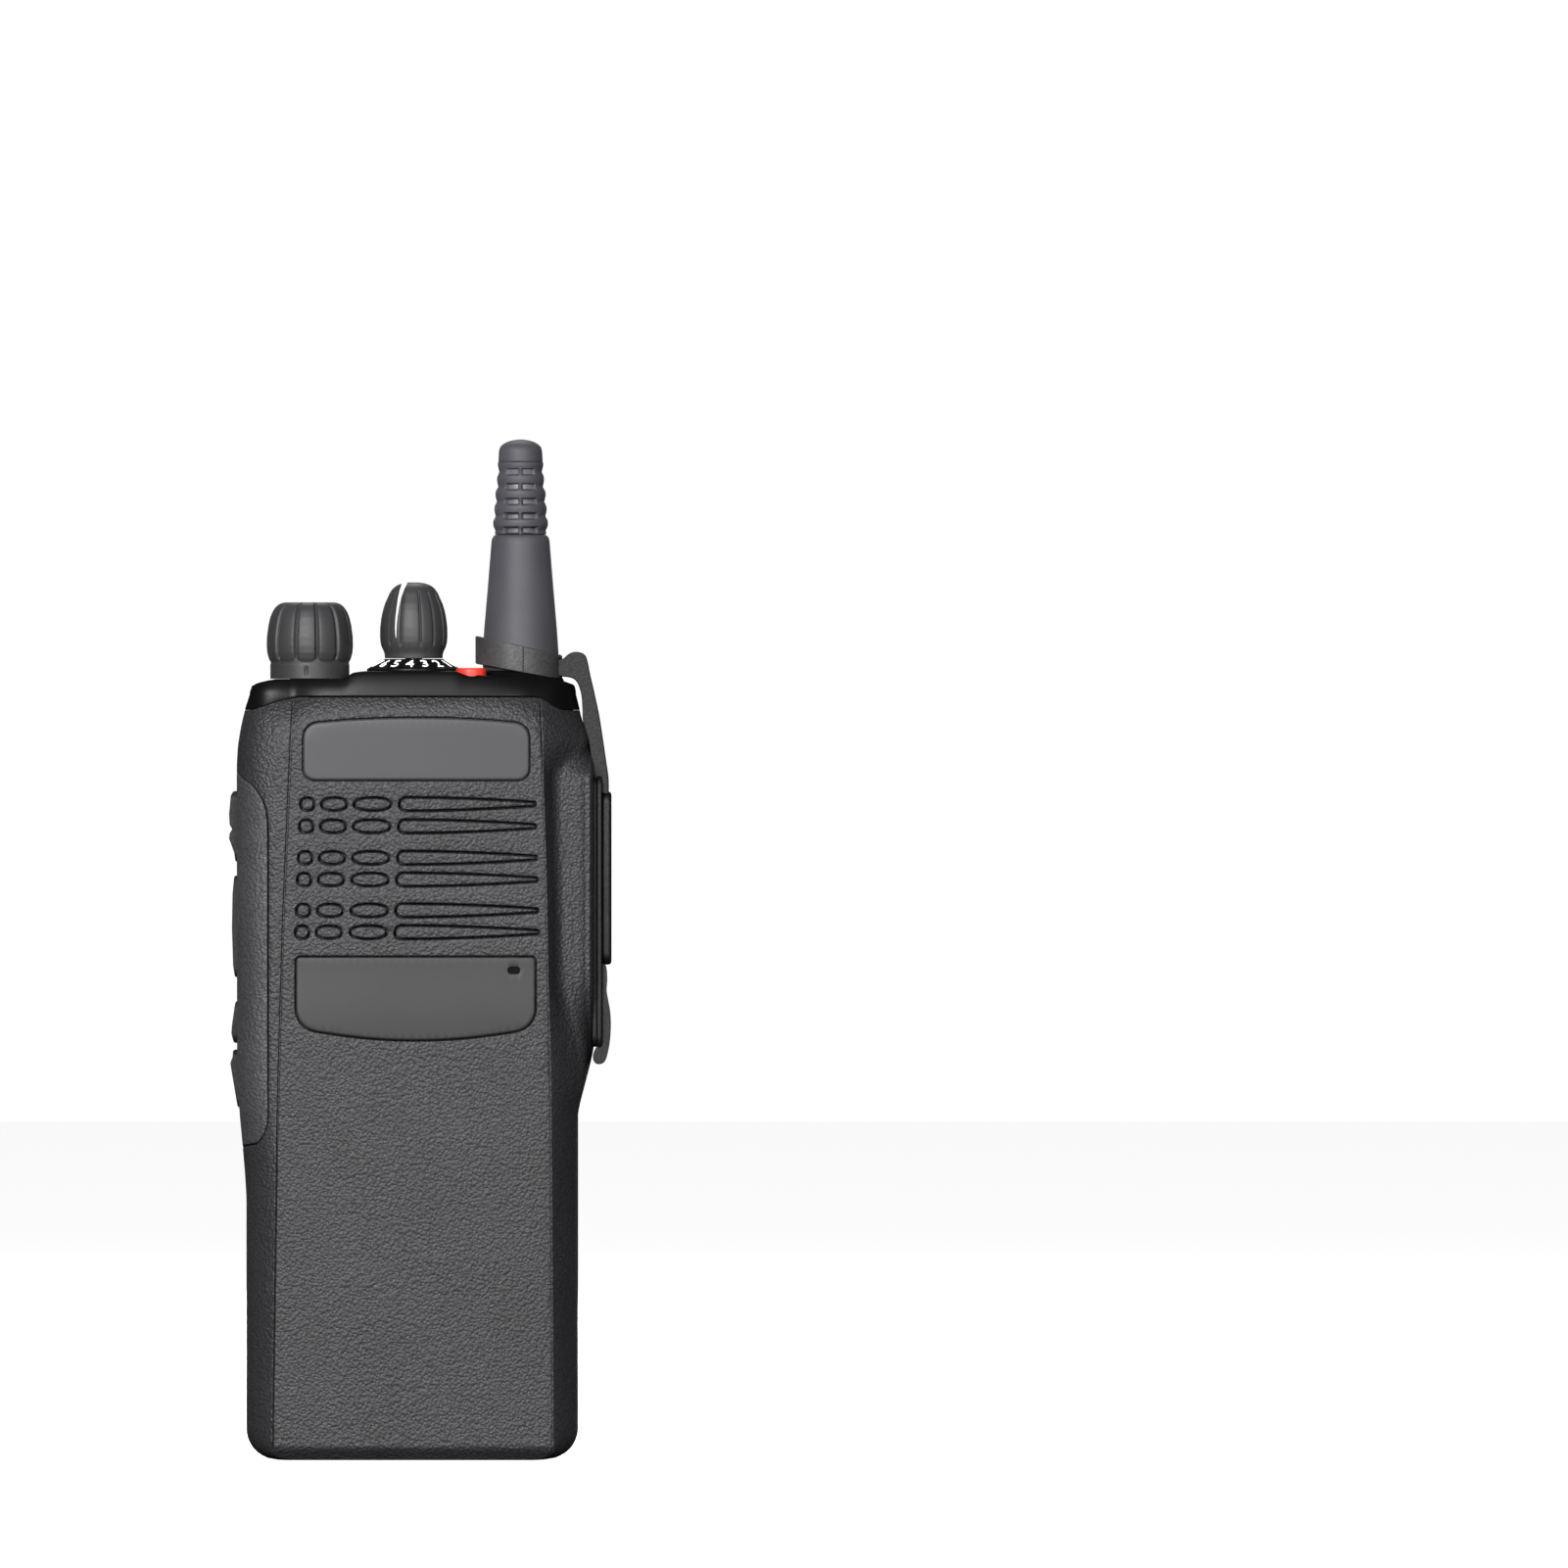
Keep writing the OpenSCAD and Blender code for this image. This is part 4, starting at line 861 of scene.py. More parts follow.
# ------------------------------------------------------------------ key bezel
bl = offset_poly(bezel_loop, -0.20)
rl = [(offset_poly(bl, -i_), d_) for i_, d_ in [(0.0, 0.26), (0.05, 0.12), (0.14, 0.03), (0.3, 0.0)]]
for kl_ in key_loops:
    rl += [(offset_poly(kl_, 0.28), 0.0), (offset_poly(kl_, 0.1), 0.05), (kl_, 0.22)]
g = grid_points(bl[:, 0].min(), bl[:, 0].max(), 54, 122, 0.7, 1.0)
keepg = signed_dist(g, bl) < -0.5
for kl_ in key_loops:
    keepg &= signed_dist(g, kl_) > 0.5
v_, f_, w_ = fill([r[0] for r in rl], g[keepg], key_loops)
dep = np.zeros(len(v_))
kk, ring_idx = 0, []
for l_, de in rl:
    ring_idx.append([w_[kk + i] for i in range(len(l_))])
    for i in range(len(l_)):
        dep[w_[kk + i]] = de
    kk += len(l_)
verts = [tuple(p) for p in surf(v_[:, 0], v_[:, 1], dep)]
faces = [tuple(t) for t in f_]
for loop_, idx_ in [(rl[0][0], ring_idx[0])] + [(key_loops[i], ring_idx[4 + 3 * i + 2]) for i in range(4)]:
    k = len(verts)
    wall = 1.2 if idx_ is ring_idx[0] else 2.2
    verts.extend(tuple(p) for p in surf(loop_[:, 0], loop_[:, 1], wall))
    n = len(idx_)
    faces.extend((idx_[i], idx_[(i + 1) % n], k + (i + 1) % n, k + i) for i in range(n))
# pocket floors, below the keys' travel
for loop_ in key_loops:
    v2, f2, w2 = fill([loop_], np.zeros((0, 2)), [])
    k = len(verts)
    verts.extend(tuple(p) for p in surf(v2[:, 0], v2[:, 1], 2.2))
    faces.extend(tuple(k + i for i in t) for t in f2)
bezel = weighted(fix_normals(add_obj("side_key_bezel", verts, faces, M["bezel"])), 55)
place(bezel, "dark_plastic", "ptt_bezel")


# ------------------------------------------------------------------ turned parts
def lathe(name, rfun, zs, n, mat, centre, cap_top=True, cap_bottom=True, inner=None):
    """rfun(theta, z) gives the radius; theta 0 points to +X. inner: (radius, z0, z1) of a hollow from below."""
    th = np.linspace(0, 2 * math.pi, n, endpoint=False)
    vs, fs = [], []
    for z in zs:
        r = rfun(th, z)
        vs.extend(zip(centre[0] + r * np.cos(th), centre[1] + r * np.sin(th), np.full(n, z)))
    for k_ in range(len(zs) - 1):
        a, b = k_ * n, (k_ + 1) * n
        fs.extend((a + i, a + (i + 1) % n, b + (i + 1) % n, b + i) for i in range(n))
    if cap_top:
        vs.append((centre[0], centre[1], zs[-1]))
        c, b = len(vs) - 1, (len(zs) - 1) * n
        fs.extend((b + i, b + (i + 1) % n, c) for i in range(n))
    if cap_bottom:
        if inner:
            ri, zi = inner
            k_ = len(vs)
            for r, z in ((ri, zs[0]), (ri, zi), (0.01, zi)):
                vs.extend(zip(centre[0] + r * np.cos(th), centre[1] + r * np.sin(th), np.full(n, z)))
            prev = 0
            for j in range(3):
                cur = k_ + j * n
                fs.extend((prev + (i + 1) % n, prev + i, cur + i, cur + (i + 1) % n) for i in range(n))
                prev = cur
        else:
            vs.append((centre[0], centre[1], zs[0]))
            c = len(vs) - 1
            fs.extend((i, c, (i + 1) % n) for i in range(n))
    return fix_normals(add_obj(name, vs, fs, mat))


VOL, CHAN, ANT = (-17.9, -7.5), (0.3, -7.5), (19.0, -6.5)


def profile(pts):
    p = np.array(pts, float)
    return lambda z: np.interp(z, p[:, 0], p[:, 1])


def dense(pts, step):
    """Heights through a profile with every break kept."""
    zs = [p[0] for p in pts]
    out = [zs[0]]
    for a, b in zip(zs, zs[1:]):
        k_ = max(1, int(math.ceil((b - a) / step)))
        out += [a + (b - a) * (i + 1) / k_ for i in range(k_)]
    return np.array(out)


# volume knob: plain skirt, twelve flat lobes with narrow valleys and rounded feet
vp = [(139.55, 6.9), (140.2, 7.22), (141.2, 7.5), (142.4, 7.6), (144.0, 7.56), (146, 7.3), (147.4, 6.98), (148.3, 6.62),
      (148.9, 6.28), (149.35, 5.9), (149.7, 5.45), (149.92, 5.0), (150.02, 4.5)]
vprof = profile(vp)


def vol_radius(th, z):
    skirt = 6.92
    if z < 139.2:
        r = np.full_like(th, skirt)
        # pointer notch in the skirt
        a = (np.degrees(th) + 90 + 4.5 + 180) % 360 - 180
        if 137.2 < z < 138.6:
            r = r - 0.3 * np.exp(-(a / 2.2) ** 2)
        return r
    lobe = ((np.degrees(th) + 94) + 15) % 30 - 15
    R = float(vprof(z))
    flat = R - 0.10 * (1 - (lobe / 15.0) ** 2) * 0.5 - 0.16 * (lobe / 15.0) ** 4
    edge = np.abs(lobe)
    fade = 1 - float(smoothstep(149.0, 149.9, z)) * 0.8
    valley = 0.8 * smoothstep(11.8, 14.4, edge) * fade
    r = flat - valley
    foot_z = 139.25 + 0.75 * (np.clip(edge / 13.5, 0, 1) ** 2.2)
    w = smoothstep(0, 0.55, (z - foot_z))
    return 6.86 + (r - 6.86) * w


zs = np.concatenate([[136.68, 136.75, 137.0, 137.3, 137.7, 138.1, 138.5, 138.9, 139.15], np.arange(139.25, 142.0, 0.13), dense(vp[2:], 0.35)[2:]])
zs = np.unique(np.round(zs, 4))
knob = lathe("volume_knob_body", vol_radius, zs, 240, M["knob"], VOL, cap_top=False, inner=(5.5, 139.0))
bm = bmesh.new()
bm.from_mesh(knob.data)
vtop = [(4.35, 150.04), (3.6, 150.02), (3.1, 149.85), (2.9, 149.65), (2.4, 149.6), (0.6, 149.58)]
th = np.linspace(0, 2 * math.pi, 240, endpoint=False)
ztop = max(v_.co.z for v_ in bm.verts)
last = sorted([v_ for v_ in bm.verts if abs(v_.co.z - ztop) < 1e-6], key=lambda v_: math.atan2(v_.co.y - VOL[1] * MM, v_.co.x - VOL[0] * MM) % (2 * math.pi))
for r, z in vtop:
    cur = [bm.verts.new(((VOL[0] + r * math.cos(t)) * MM, (VOL[1] + r * math.sin(t)) * MM, z * MM)) for t in th]
    for i in range(240):
        bm.faces.new((last[i], last[(i + 1) % 240], cur[(i + 1) % 240], cur[i])).smooth = True
    last = cur
bm.faces.new(last).smooth = True
bmesh.ops.recalc_face_normals(bm, faces=bm.faces)
bm.to_mesh(knob.data)
bm.free()
weighted(knob)
place(knob, "knob", "volume_knob", body="volume_control")

# channel knob: fluted dome with a pointer fin split off by a curved slot
cp = [(140.27, 5.05), (141.0, 5.1), (141.5, 5.25), (142.2, 5.6), (143.0, 5.82), (144.0, 5.9), (145.6, 5.88), (147.2, 5.7), (148.6, 5.42),
      (149.8, 5.05), (150.8, 4.6), (151.6, 4.25), (152.3, 3.8), (152.85, 3.2), (153.2, 2.55), (153.42, 1.8), (153.55, 0.9)]
cprof = profile(cp)


def chan_radius(th, z):
    R = float(cprof(z))
    a = (np.degrees(th) + 90) % 360
    ph = (a + 12.5) % 25 - 12.5
    left = np.abs((np.degrees(th) - 180 + 180) % 360 - 180) < 42
    amp = 0.5 * float(smoothstep(141.8, 143.4, z)) * (1 - float(smoothstep(150.5, 152.8, z)))
    groove = amp * np.exp(-((np.abs(ph) - 12.5) / 1.7) ** 2)
    return R - np.where(left, 0, groove)


zs = np.unique(np.round(np.concatenate([dense(cp, 0.3)]), 4))
chan = lathe("channel_knob_body", chan_radius, zs, 216, M["knob"], CHAN, cap_top=True, inner=(1.52, 146.0))
slot_c = [(153.9, -1.15), (153.1, -1.42), (152.2, -1.8), (150.9, -2.18), (149.1, -2.5), (147.4, -2.74), (145.7, -2.86), (144.4, -2.84), (143.75, -2.8)]
wid = [0.50, 0.47, 0.42, 0.34, 0.28, 0.25, 0.22, 0.17, 0.08]
ls = [(x - w_, z) for (z, x), w_ in zip(slot_c, wid)] + [(x + w_, z) for (z, x), w_ in reversed(list(zip(slot_c, wid)))]
n = len(ls)
cv = [(x, -20, z) for x, z in ls] + [(x, 6, z) for x, z in ls]
cf = [tuple(range(n)), tuple(range(2 * n - 1, n - 1, -1))] + [(i, (i + 1) % n, n + (i + 1) % n, n + i) for i in range(n)]
cutter = fix_normals(add_obj("slot_cutter", cv, cf, M["knob"], smooth=False))
bo_ = chan.modifiers.new("slot", "BOOLEAN")
bo_.operation = "DIFFERENCE"
bo_.object = cutter
bo_.solver = "EXACT"
dg = bpy.context.evaluated_depsgraph_get()
cut_mesh = bpy.data.meshes.new_from_object(chan.evaluated_get(dg))
chan.modifiers.clear()
chan.data = cut_mesh
bpy.data.objects.remove(cutter)
chan.data.polygons.foreach_set("use_smooth", [True] * len(chan.data.polygons))
weighted(chan, 40)
place(chan, "knob", "channel_knob", body="channel_control")

# channel dial: cone ring with its numbers
dp = [(138.02, 8.17), (138.2, 8.2), (138.4, 8.12), (138.55, 7.85), (139.9, 5.5), (140.05, 5.25), (140.12, 5.0)]
zs = dense(dp, 0.4)
dial = lathe("channel_dial_ring", lambda th, z: np.full_like(th, float(profile(dp)(z))), zs, 128, M["dark_plastic"], CHAN, cap_top=False, cap_bottom=False)
bm = bmesh.new()
bm.from_mesh(dial.data)
bm.to_mesh(dial.data)
bm.free()
inner_ring = lathe("dial_bore", lambda th, z: np.full_like(th, float(profile([(138.02, 3.7), (140.1, 3.7), (140.12, 5.0)])(z))),
                   np.array([138.02, 140.1, 140.12]), 128, M["dark_plastic"], CHAN, cap_top=False, cap_bottom=False)


def join(objs):
    bpy.ops.object.select_all(action="DESELECT")
    for o_ in objs:
        o_.select_set(True)
    bpy.context.view_layer.objects.active = objs[0]
    bpy.ops.object.join()
    return objs[0]


dial = join([dial, inner_ring])
weighted(dial, 35)
place(dial, "dark_plastic", "channel_dial")

marks = []
slope = math.atan2(139.9 - 138.55, 7.85 - 5.5)
for i in range(16):
    cu = bpy.data.curves.new(f"mark_{i}", "FONT")
    cu.body = str(i + 1)
    cu.align_x, cu.align_y = "CENTER", "CENTER"
    cu.size = 0.0032
    cu.space_character = 0.9
    cu.offset = 0.00005
    cu.extrude = 0.00004
    cu.resolution_u = 3
    o_ = bpy.data.objects.new(f"mark_{i}", cu)
    bpy.context.scene.collection.objects.link(o_)
    ang = math.radians(-90 - 22.5 * (i - 3) - 5)
    r = 6.66
    z = 138.55 + (7.85 - r) * math.tan(slope) + 0.03
    up = Vector((-math.cos(ang) * math.cos(slope), -math.sin(ang) * math.cos(slope), math.sin(slope)))
    right = Vector((-math.sin(ang), math.cos(ang), 0))
    nrm = right.cross(up)
    mat4 = Matrix((right * (0.95 if i < 9 else 0.58), up, nrm)).transposed().to_4x4()
    mat4.translation = Vector(((CHAN[0] + r * math.cos(ang)) * MM, (CHAN[1] + r * math.sin(ang)) * MM, z * MM))
    o_.matrix_world = mat4
    bpy.context.view_layer.update()
    me = bpy.data.meshes.new_from_object(o_.evaluated_get(bpy.context.evaluated_depsgraph_get()))
    me.transform(mat4)
    m_ = bpy.data.objects.new(f"dial_mark_{i}", me)
    bpy.context.scene.collection.objects.link(m_)
    bpy.data.objects.remove(o_)
    me.materials.clear()
    me.materials.append(M["ink"])
    marks.append(m_)
numbers = join(marks)
numbers.name = "dial_numbers"
place(numbers, "label")

# antenna boot
bp_ = [(138.02, 6.3), (138.1, 6.45), (138.4, 6.6), (141.4, 6.64), (143.5, 6.5), (145.7, 6.34), (153.2, 5.7), (160.6, 5.1), (161.1, 5.02), (161.5, 4.85),
       (161.78, 4.6), (161.9, 4.3)]
boot = lathe("antenna_boot_skin", lambda th, z: np.full_like(th, float(profile(bp_)(z))), dense(bp_, 1.2), 144, M["antenna_rubber"], ANT,
             cap_top=True, inner=(3.02, 138.8))
weighted(boot, 60)
place(boot, "antenna_rubber", "antenna_boot", body="antenna")

# ribbed relief: ribs, waists and four window columns that show the core
ribs = [(163.9, 4.81), (166.4, 4.59), (169.0, 4.41), (171.6, 4.13)]
waist = [(162.7, 4.43), (165.15, 4.36), (167.7, 4.15), (170.3, 3.9), (172.9, 3.72)]
keyz = sorted([(z - 0.52, r - 0.06) for z, r in ribs] + [(z, r) for z, r in ribs] + [(z + 0.52, r - 0.06) for z, r in ribs]
              + [(z, r) for z, r in waist] + [(162.0, 4.5), (161.93, 4.3), (174.05, 3.98), (174.5, 3.98), (174.6, 3.9)])
fz = np.array([k_[0] for k_ in keyz])
fr = np.array([k_[1] for k_ in keyz])


def flex_radius(th, z):
    r = float(np.interp(z, fz, fr))
    deg = np.degrees(th) % 360
    win = np.zeros_like(th)
    for side in (90, 270):
        dlt = np.abs((deg - side + 180) % 360 - 180)
        win = np.maximum(win, smoothstep(3.8, 5.6, dlt) * (1 - smoothstep(38.5, 41.5, dlt)))
    lev = 0.0
    for wz, _ in waist:
        lev = max(lev, 1 - float(smoothstep(0.42, 0.62, abs(z - wz))))
    depth = (r - 3.32) * win * lev
    return r - depth


zs = np.unique(np.round(np.concatenate([np.arange(161.93, 174.6, 0.1), [174.6]]), 4))
flex = lathe("antenna_relief", flex_radius, zs, 168, M["antenna_rubber"], ANT, cap_top=True, cap_bottom=True)
weighted(flex, 70)
place(flex, "antenna_rubber", "antenna_flex", body="antenna")
core = lathe("antenna_core_skin", lambda th, z: np.full_like(th, 3.34), np.array([147.05, 150, 160, 165, 170, 174.55]), 96, M["antenna_core"], ANT)
place(core, "antenna_core", "antenna_core", body="antenna")
tp = [(174.62, 3.8), (174.7, 3.88), (176.3, 3.8), (176.9, 3.72), (177.35, 3.5), (177.75, 3.1), (178.1, 2.5), (178.38, 1.7), (178.55, 0.8), (178.6, 0.3)]
tip = lathe("antenna_tip_skin", lambda th, z: np.full_like(th, float(profile(tp)(z))), dense(tp, 0.5), 120, M["antenna_rubber"], ANT)
weighted(tip)
place(tip, "antenna_rubber", "antenna_tip", body="antenna")

# emergency button
ep = [(135.4, 2.68), (137.9, 2.7), (138.25, 2.68), (138.4, 2.6), (138.48, 2.45), (138.53, 2.2), (138.56, 1.5), (138.57, 0.6)]
eb = lathe("emergency_cap", lambda th, z: np.full_like(th, float(profile(ep)(z))), dense(ep, 0.6), 96, M["red_button"], (10.4, -13.6),
           inner=(1.1, 135.35))
weighted(eb)
place(eb, "red_button", "emergency_button", body="emergency_key")

# ------------------------------------------------------------------ top cover
t_x = [(-30, 135.2), (-27.4, 135.8), (-24, 136.1), (-19, 136.3), (-13, 136.6), (-9, 136.7), (-4, 136.4), (2, 135.7), (7, 135.3), (13, 135.5),
       (19, 135.8), (24, 135.9), (27.4, 135.6), (30, 135.2)]
hump = [(-30, 134.9), (-28, 135.5), (-26.8, 135.95), (-25.2, 136.35), (-23.8, 136.6), (-11.5, 136.64), (-10.8, 137.4), (-10.2, 137.7), (-9.0, 137.9), (-8.0, 137.99), (8.0, 137.99), (8.6, 137.6), (9.2, 137.35), (10.2, 137.3),
        (13.4, 137.2), (19, 136.85), (24, 136.6), (26.6, 136.25), (28.4, 135.6), (30, 134.9)]


def cover_z(x, y):
    """Height of the cover's top: a lip at the front, then a rise to the control deck."""
    zf = smooth_table(x, t_x, 1.5)
    zt = smooth_table(x, hump, 0.3)
    w = smoothstep(-18.3, -16.7, y)
    back = smoothstep(9.5, 13.2, y) * 1.0
    z = zf * (1 - w) + zt * w - back
    r = np.hypot(x - 19.0, y + 6.5)
    boss = 137.96 - 0.9 * np.clip((r - 6.5) / 0.75, 0, 1) ** 2
    return np.where(r < 7.25, np.maximum(z, boss), z)


sect = surf(a_side, head(a_side), 0.0)
ringp = [tuple(p) for p in sect]
ringp += [(28.3, 3.05, TOP), (27.8, 3.1, TOP), (27.8, 6.0, TOP)] + [(x, y, TOP) for x, y in arc(23.8, 9.0, 4.0, 0, 90, 10)]
ringp += [(x, 13.0, TOP) for x in np.linspace(22, -22, 16)] + [(x, y, TOP) for x, y in arc(-23.8, 9.0, 4.0, 90, 180, 10)]
ringp += [(-27.8, 6.0, TOP), (-27.8, 3.1, TOP), (-28.3, 3.05, TOP)]


def resample3(p3, step):
    p = np.array(p3, float)
    q = np.vstack([p, p[:1]])
    area2 = np.sum(q[:-1, 0] * q[1:, 1] - q[1:, 0] * q[:-1, 1])
    if area2 < 0:
        q = q[::-1]
    t = np.concatenate([[0], np.cumsum(np.linalg.norm(np.diff(q[:, :2], axis=0), axis=1))])
    u = np.linspace(0, t[-1], max(8, int(round(t[-1] / step))), endpoint=False)
    return np.stack([np.interp(u, t, q[:, k_]) for k_ in range(3)], 1)


ring3 = resample3(ringp, 0.8)
ring0, z_seam = ring3[:, :2], ring3[:, 2]
push = offset_poly(ring0, 1.0) - ring0
wf = np.clip(-push[:, 1] / np.maximum(np.linalg.norm(push, axis=1), 1e-6), 0, 1) ** 1.5
dip = (TOP - z_seam) / 2.2


def inset(poly, d):
    return ring0 - push * (np.broadcast_to(d, (len(ring0),))[:, None])


verts, faces = [], []
n = len(ring0)
for d_, zz in [(np.full(n, 0.10), z_seam + 0.06), (np.zeros(n), z_seam + 0.2), (0.05 * wf + 0.85 * dip * (1 - wf), np.full(n, 133.9))]:
    q = inset(ring0, d_)
    verts.extend((x, y, z) for (x, y), z in zip(q, zz))
side0 = 0.85 * dip * (1 - wf)
for (df, ff), (ds, fs_) in zip([(0.25, 0.32), (0.50, 0.56), (0.80, 0.78), (1.05, 0.92), (1.30, 1.0)],
                               [(0.10, 0.35), (0.22, 0.60), (0.42, 0.80), (0.70, 0.94), (1.10, 1.0)]):
    q = inset(ring0, df * wf + (side0 + ds) * (1 - wf))
    fr_ = ff * wf + fs_ * (1 - wf)
    zt = cover_z(q[:, 0], q[:, 1])
    verts.extend((x, y, 133.9 + (zz - 133.9) * f_1) for (x, y), zz, f_1 in zip(q, zt, fr_))
rows = 8
for k_ in range(rows - 1):
    a, b = k_ * n, (k_ + 1) * n
    faces.extend((a + i, a + (i + 1) % n, b + (i + 1) % n, b + i) for i in range(n))
lastq = q
g = grid_points(-27, 27, -18, 12, 0.55, 0.55)
g = g[signed_dist(g, lastq) < -0.5]
v_, f_, w_ = fill([lastq], g, [])
inv = {w_[i]: (rows - 1) * n + i for i in range(n)}
remap = {}
for i, (x, y) in enumerate(v_):
    if i in inv:
        remap[i] = inv[i]
    else:
        remap[i] = len(verts)
        verts.append((x, y, float(cover_z(np.array([x]), np.array([y]))[0])))
faces.extend(tuple(remap[i] for i in t) for t in f_)
# return under the skirt
k = len(verts)
verts.extend((x, y, z + 0.06) for (x, y), z in zip(inset(ring0, 1.0), z_seam))
verts.extend((x, y, 134.0) for x, y in inset(ring0, 1.6))
faces.extend((k + i, i, (i + 1) % n, k + (i + 1) % n) for i in range(n))
faces.extend((k + n + i, k + i, k + (i + 1) % n, k + n + (i + 1) % n) for i in range(n))
faces.append(tuple(range(k + n, k + 2 * n)))
cover = weighted(fix_normals(add_obj("control_top", verts, faces, M["dark_plastic"])), 60)
place(cover, "dark_plastic", "top_cover")


# ------------------------------------------------------------------ strap and dust cover
def prism(name, loop, axis, lo, hi, mat, bevel=0.3, seg=3):
    """Closed outline pushed along an axis ("x": loop is y, z; "y": loop is x, z), with rounded edges."""
    p = ccw(loop)
    n_ = len(p)
    mk = (lambda q, c: (c, q[0], q[1])) if axis == "x" else (lambda q, c: (q[0], c, q[1]))
    vs = [mk(q, lo) for q in p] + [mk(q, hi) for q in p]
    fs = [tuple(range(n_)), tuple(range(2 * n_ - 1, n_ - 1, -1))] + [(i, (i + 1) % n_, n_ + (i + 1) % n_, n_ + i) for i in range(n_)]
    o_ = fix_normals(add_obj(name, vs, fs, mat))
    b_ = o_.modifiers.new("round", "BEVEL")
    b_.width = bevel * MM
    b_.segments = seg
    b_.limit_method = "ANGLE"
    b_.angle_limit = math.radians(38)
    b_.harden_normals = True
    return o_


def spline(pts, per=5):
    """Smooth closed or open path through points."""
    p = np.array(pts, float)
    out = []
    for i in range(len(p) - 1):
        p0, p1, p2, p3 = p[max(i - 1, 0)], p[i], p[i + 1], p[min(i + 2, len(p) - 1)]
        for t in np.linspace(0, 1, per, endpoint=False):
            out.append(0.5 * ((2 * p1) + (-p0 + p2) * t + (2 * p0 - 5 * p1 + 4 * p2 - p3) * t ** 2 + (-p0 + 3 * p1 - 3 * p2 + p3) * t ** 3))
    out.append(p[-1])
    return [tuple(q) for q in out]


# tilted ring round the antenna's foot
RC, RO, RI = (18.7, -6.5), 7.6, 6.86
nt_ = 360
th = np.linspace(0, 2 * math.pi, nt_, endpoint=False)
vs, fs = [], []
sec = [(RI, 0.0, 0.25), (RI + 0.12, 0.0, 0.08), (RO - 0.18, 0.0, 0.0), (RO, 0.0, 0.18), (RO, 1.0, -0.2), (RO - 0.2, 1.0, 0.0), (RI + 0.1, 1.0, -0.04), (RI, 1.0, -0.2)]
for r, top_, dz in sec:
    cx = np.where(r > 7.0, RC[0], ANT[0])
    seam = 0.22 * np.exp(-((np.degrees(th) - 277.5) / 1.1) ** 2) * (r > 7.0)
    x, y = cx + (r - seam) * np.cos(th), RC[1] + (r - seam) * np.sin(th)
    zb = 139.3 - (x - 11.2) * 0.185
    zt = 144.2 - (x - 11.2) * 0.225
    vs.extend(zip(x, y, zb + (zt - zb) * top_ + dz))
m = len(sec)
for k_ in range(m):
    a, b = k_ * nt_, ((k_ + 1) % m) * nt_
    fs.extend((a + i, b + i, b + (i + 1) % nt_, a + (i + 1) % nt_) for i in range(nt_))
ring = weighted(fix_normals(add_obj("strap_ring", vs, fs, M["ring_rubber"])), 50)
arm_out = spline([(25.0, 140.0), (26.4, 140.15), (27.3, 140.9), (28.3, 141.35), (29.4, 141.3), (30.3, 140.8), (30.75, 139.6), (31.15, 137.6), (31.85, 134.6),
                  (32.75, 130.4), (33.45, 126.0), (34.0, 122.2), (34.4, 119.4), (34.45, 116.9)])
arm_in = spline([(32.4, 116.7), (32.0, 118.6), (31.55, 120.6), (31.3, 123.2), (31.0, 125.2), (30.45, 127.2), (29.95, 129.2), (29.85, 131.4), (29.7, 133.6), (29.3, 135.2), (28.8, 136.2), (28.1, 136.75),
                 (27.0, 137.0), (25.0, 137.15)])
arm = prism("strap_arm", arm_out + [(34.4, 116.4)] + arm_in, "y", -9.4, -3.6, M["rubber"], bevel=0.45, seg=4)
place(ring, "rubber", "cover_strap")
place(arm, "rubber", "cover_strap")

gas = prism("port_gasket", rrect(-10.2, 72.2, 0.2, 119.8, 2, 6), "x", 31.6, 32.34, M["rubber"], bevel=0.12, seg=2)
place(gas, "rubber", "cover_gasket")
basep = prism("port_cover_base", rrect(-10.6, 71.6, 0.6, 120, 2.5, 8), "x", 32.36, 33.3, M["rubber"], bevel=0.3, seg=3)
pad = prism("port_cover_pad", rrect(-9.4, 86.6, -0.6, 116.9, 2, 8), "x", 33.2, 34.9, M["rubber"], bevel=0.55, seg=4)
lip_prof = spline([(33.2, 86.9), (33.95, 86.3), (34.15, 84.0), (34.05, 82.0), (34.35, 80.2), (34.7, 78.0), (34.78, 75.6), (34.6, 73.0), (34.2, 70.9), (33.8, 69.7), (33.2, 69.25),
                   (32.4, 69.2), (31.8, 69.8), (31.75, 71.0), (32.5, 72.6)])
lip = prism("port_cover_lip", lip_prof + [(33.0, 74.0)], "y", -9.6, -0.4, M["rubber"], bevel=0.5, seg=4)
for o_ in [basep, pad, lip]:
    place(o_, "rubber", "dust_cover")

# ------------------------------------------------------------------ CAD nodes that keep their own shape
SLOT_OF = {s["node"]: s["material_slot"] for s in frame["record"]["subparts"]}
for name, o_ in nodes.items():
    key_ = SLOT_OF.get(name, "component")
    o_.data.materials.clear()
    o_.data.materials.append(M.get(key_, M["component"]))


def soften(name, width, angle=30, seg=2, dissolve=True):
    """Rounds a carried-over CAD piece's edges with modifiers only."""
    o_ = nodes[name]
    w_ = o_.modifiers.new("weld", "WELD")
    w_.merge_threshold = 0.000002
    if dissolve:
        d_ = o_.modifiers.new("planar", "DECIMATE")
        d_.decimate_type = "DISSOLVE"
        d_.angle_limit = math.radians(0.2)
    b_ = o_.modifiers.new("round", "BEVEL")
    b_.width = width * MM
    b_.segments = seg
    b_.limit_method = "ANGLE"
    b_.angle_limit = math.radians(angle)
    b_.use_clamp_overlap = True
    b_.harden_normals = False
    s_ = o_.modifiers.new("smooth", "WEIGHTED_NORMAL")
    s_.weight = 100
    s_.keep_sharp = True
    o_.data.polygons.foreach_set("use_smooth", [True] * len(o_.data.polygons))


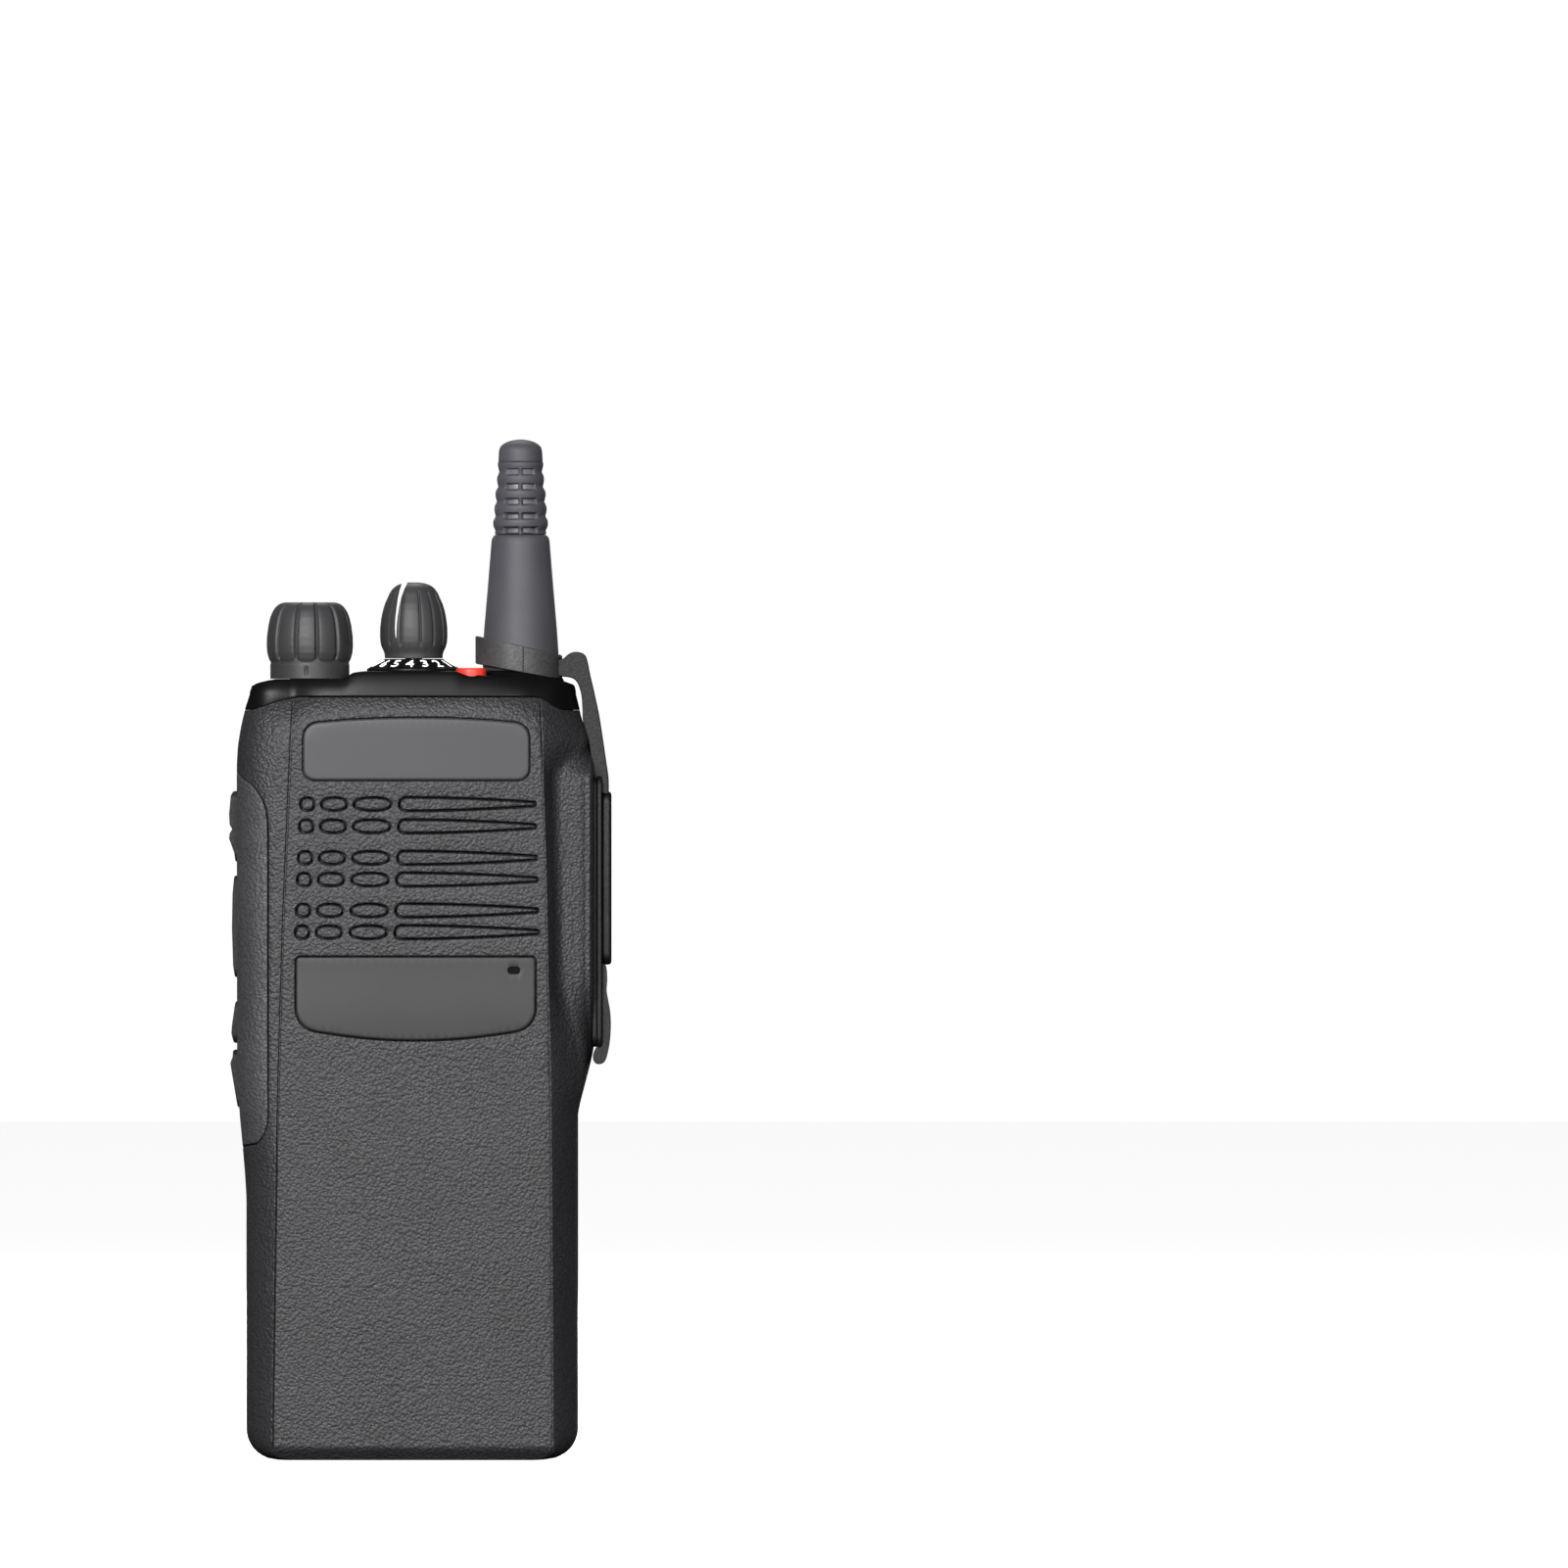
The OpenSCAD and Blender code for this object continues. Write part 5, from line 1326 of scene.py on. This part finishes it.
for nm, wd in [("battery_case", 0.25), ("battery_cover", 0.35), ("rear_top_cap", 0.35), ("side_button_1", 0.3), ("ptt_button", 0.3), ("side_button_2", 0.3),
               ("side_button_3", 0.3), ("battery_latch", 0.2), ("battery_label", 0.05), ("charge_contacts", 0.08), ("control_nuts", 0.15)]:
    soften(nm, wd, dissolve=nm not in ("battery_case", "battery_cover"))
for nm in ("antenna_gasket", "led_light_pipe", "antenna_ferrule", "antenna_socket", "chassis_screws", "volume_shaft", "channel_shaft"):
    soften(nm, 0.1)

# ------------------------------------------------------------------ floor, light, camera
m, nt, b = new_mat("floor_white")
tc = add(nt, "ShaderNodeTexCoord", -600, 0)
nz = add(nt, "ShaderNodeTexNoise", -400, 0)
nz.inputs["Scale"].default_value = 6
ra = add(nt, "ShaderNodeValToRGB", -200, 0)
ra.color_ramp.elements[0].color = (0.9, 0.9, 0.9, 1)
ra.color_ramp.elements[1].color = (0.93, 0.93, 0.93, 1)
nt.links.new(tc.outputs["Object"], nz.inputs["Vector"])
nt.links.new(nz.outputs["Fac"], ra.inputs["Fac"])
nt.links.new(ra.outputs["Color"], b.inputs["Base Color"])
b.inputs["Roughness"].default_value = 0.9
b.inputs["Emission Color"].default_value = (1, 1, 1, 1)
b.inputs["Emission Strength"].default_value = 0.93
floor = add_obj("studio_floor", [(-6, -6, -0.0002), (6, -6, -0.0002), (6, 6, -0.0002), (-6, 6, -0.0002)], [(0, 1, 2, 3)], m, smooth=False, unit=1.0)
floor.visible_glossy = False
floor.visible_diffuse = False

w = bpy.data.worlds.new("studio")
bpy.context.scene.world = w
w.use_nodes = True
wn = w.node_tree
wn.nodes.clear()
out = wn.nodes.new("ShaderNodeOutputWorld")
mix = wn.nodes.new("ShaderNodeMixShader")
lp_ = wn.nodes.new("ShaderNodeLightPath")
b1 = wn.nodes.new("ShaderNodeBackground")
b1.inputs[0].default_value = (1, 1, 1, 1)
b1.inputs[1].default_value = 0.02
b2 = wn.nodes.new("ShaderNodeBackground")
b2.inputs[0].default_value = (1, 1, 1, 1)
b2.inputs[1].default_value = 1.0
wn.links.new(lp_.outputs["Is Camera Ray"], mix.inputs[0])
wn.links.new(b1.outputs[0], mix.inputs[1])
wn.links.new(b2.outputs[0], mix.inputs[2])
wn.links.new(mix.outputs[0], out.inputs[0])


def area(name, loc, target, size, power, size_y=None, color=(1, 1, 1)):
    l = bpy.data.lights.new(name, "AREA")
    l.shape = "RECTANGLE"
    l.size = size
    l.size_y = size_y or size
    l.energy = power
    l.color = color
    o_ = bpy.data.objects.new(name, l)
    bpy.context.scene.collection.objects.link(o_)
    o_.location = loc
    o_.rotation_mode = "QUATERNION"
    o_.rotation_quaternion = (Vector(target) - Vector(loc)).to_track_quat("-Z", "Y")
    return o_


mid = (0.0, 0.0, 0.08)
for nm_, loc_, sz_, pw_, sy_ in [
        ("key_front", (-0.44, -1.45, 0.60), 0.6, 39, 0.6), ("fill_front", (0.60, -1.7, 0.42), 0.5, 17, 0.5),
        ("top_soft", (0.0, 0.9, 1.25), 0.5, 8, 0.5), ("back_left", (-0.55, 1.7, 0.50), 0.7, 60, 0.9),
        ("back_right", (0.60, 1.7, 0.45), 0.7, 45, 0.9), ("side_left", (-1.35, 1.1, 0.30), 0.5, 30, 0.9),
        ("side_right", (1.35, 1.1, 0.30), 0.5, 30, 0.9)]:
    lamp = area(nm_, loc_, mid, sz_, pw_, sy_)
    lamp.visible_camera = False
    if nm_.startswith(("back", "side")):
        lamp.visible_glossy = False

scene = bpy.context.scene
scene.view_settings.view_transform = "Standard"
scene.view_settings.look = "None"
scene.view_settings.exposure = 0.0
scene.view_settings.gamma = 0.8
cam = bpy.data.cameras.new("camera")
co = bpy.data.objects.new("camera", cam)
scene.collection.objects.link(co)
K = 5.84
W_MM = 1601 / K
cx, cz = (800.5 - 420) / K, (1491 - 800.5) / K
DIST = 6.0
cam.type = "PERSP"
cam.sensor_width = 36
cam.lens = 36 * (DIST + YF * MM + 0.0) / (W_MM * MM)
co.location = (cx * MM, -DIST, cz * MM)
co.rotation_euler = (math.radians(90), 0, 0)
cam.clip_start = 0.1
cam.clip_end = 50
scene.camera = co
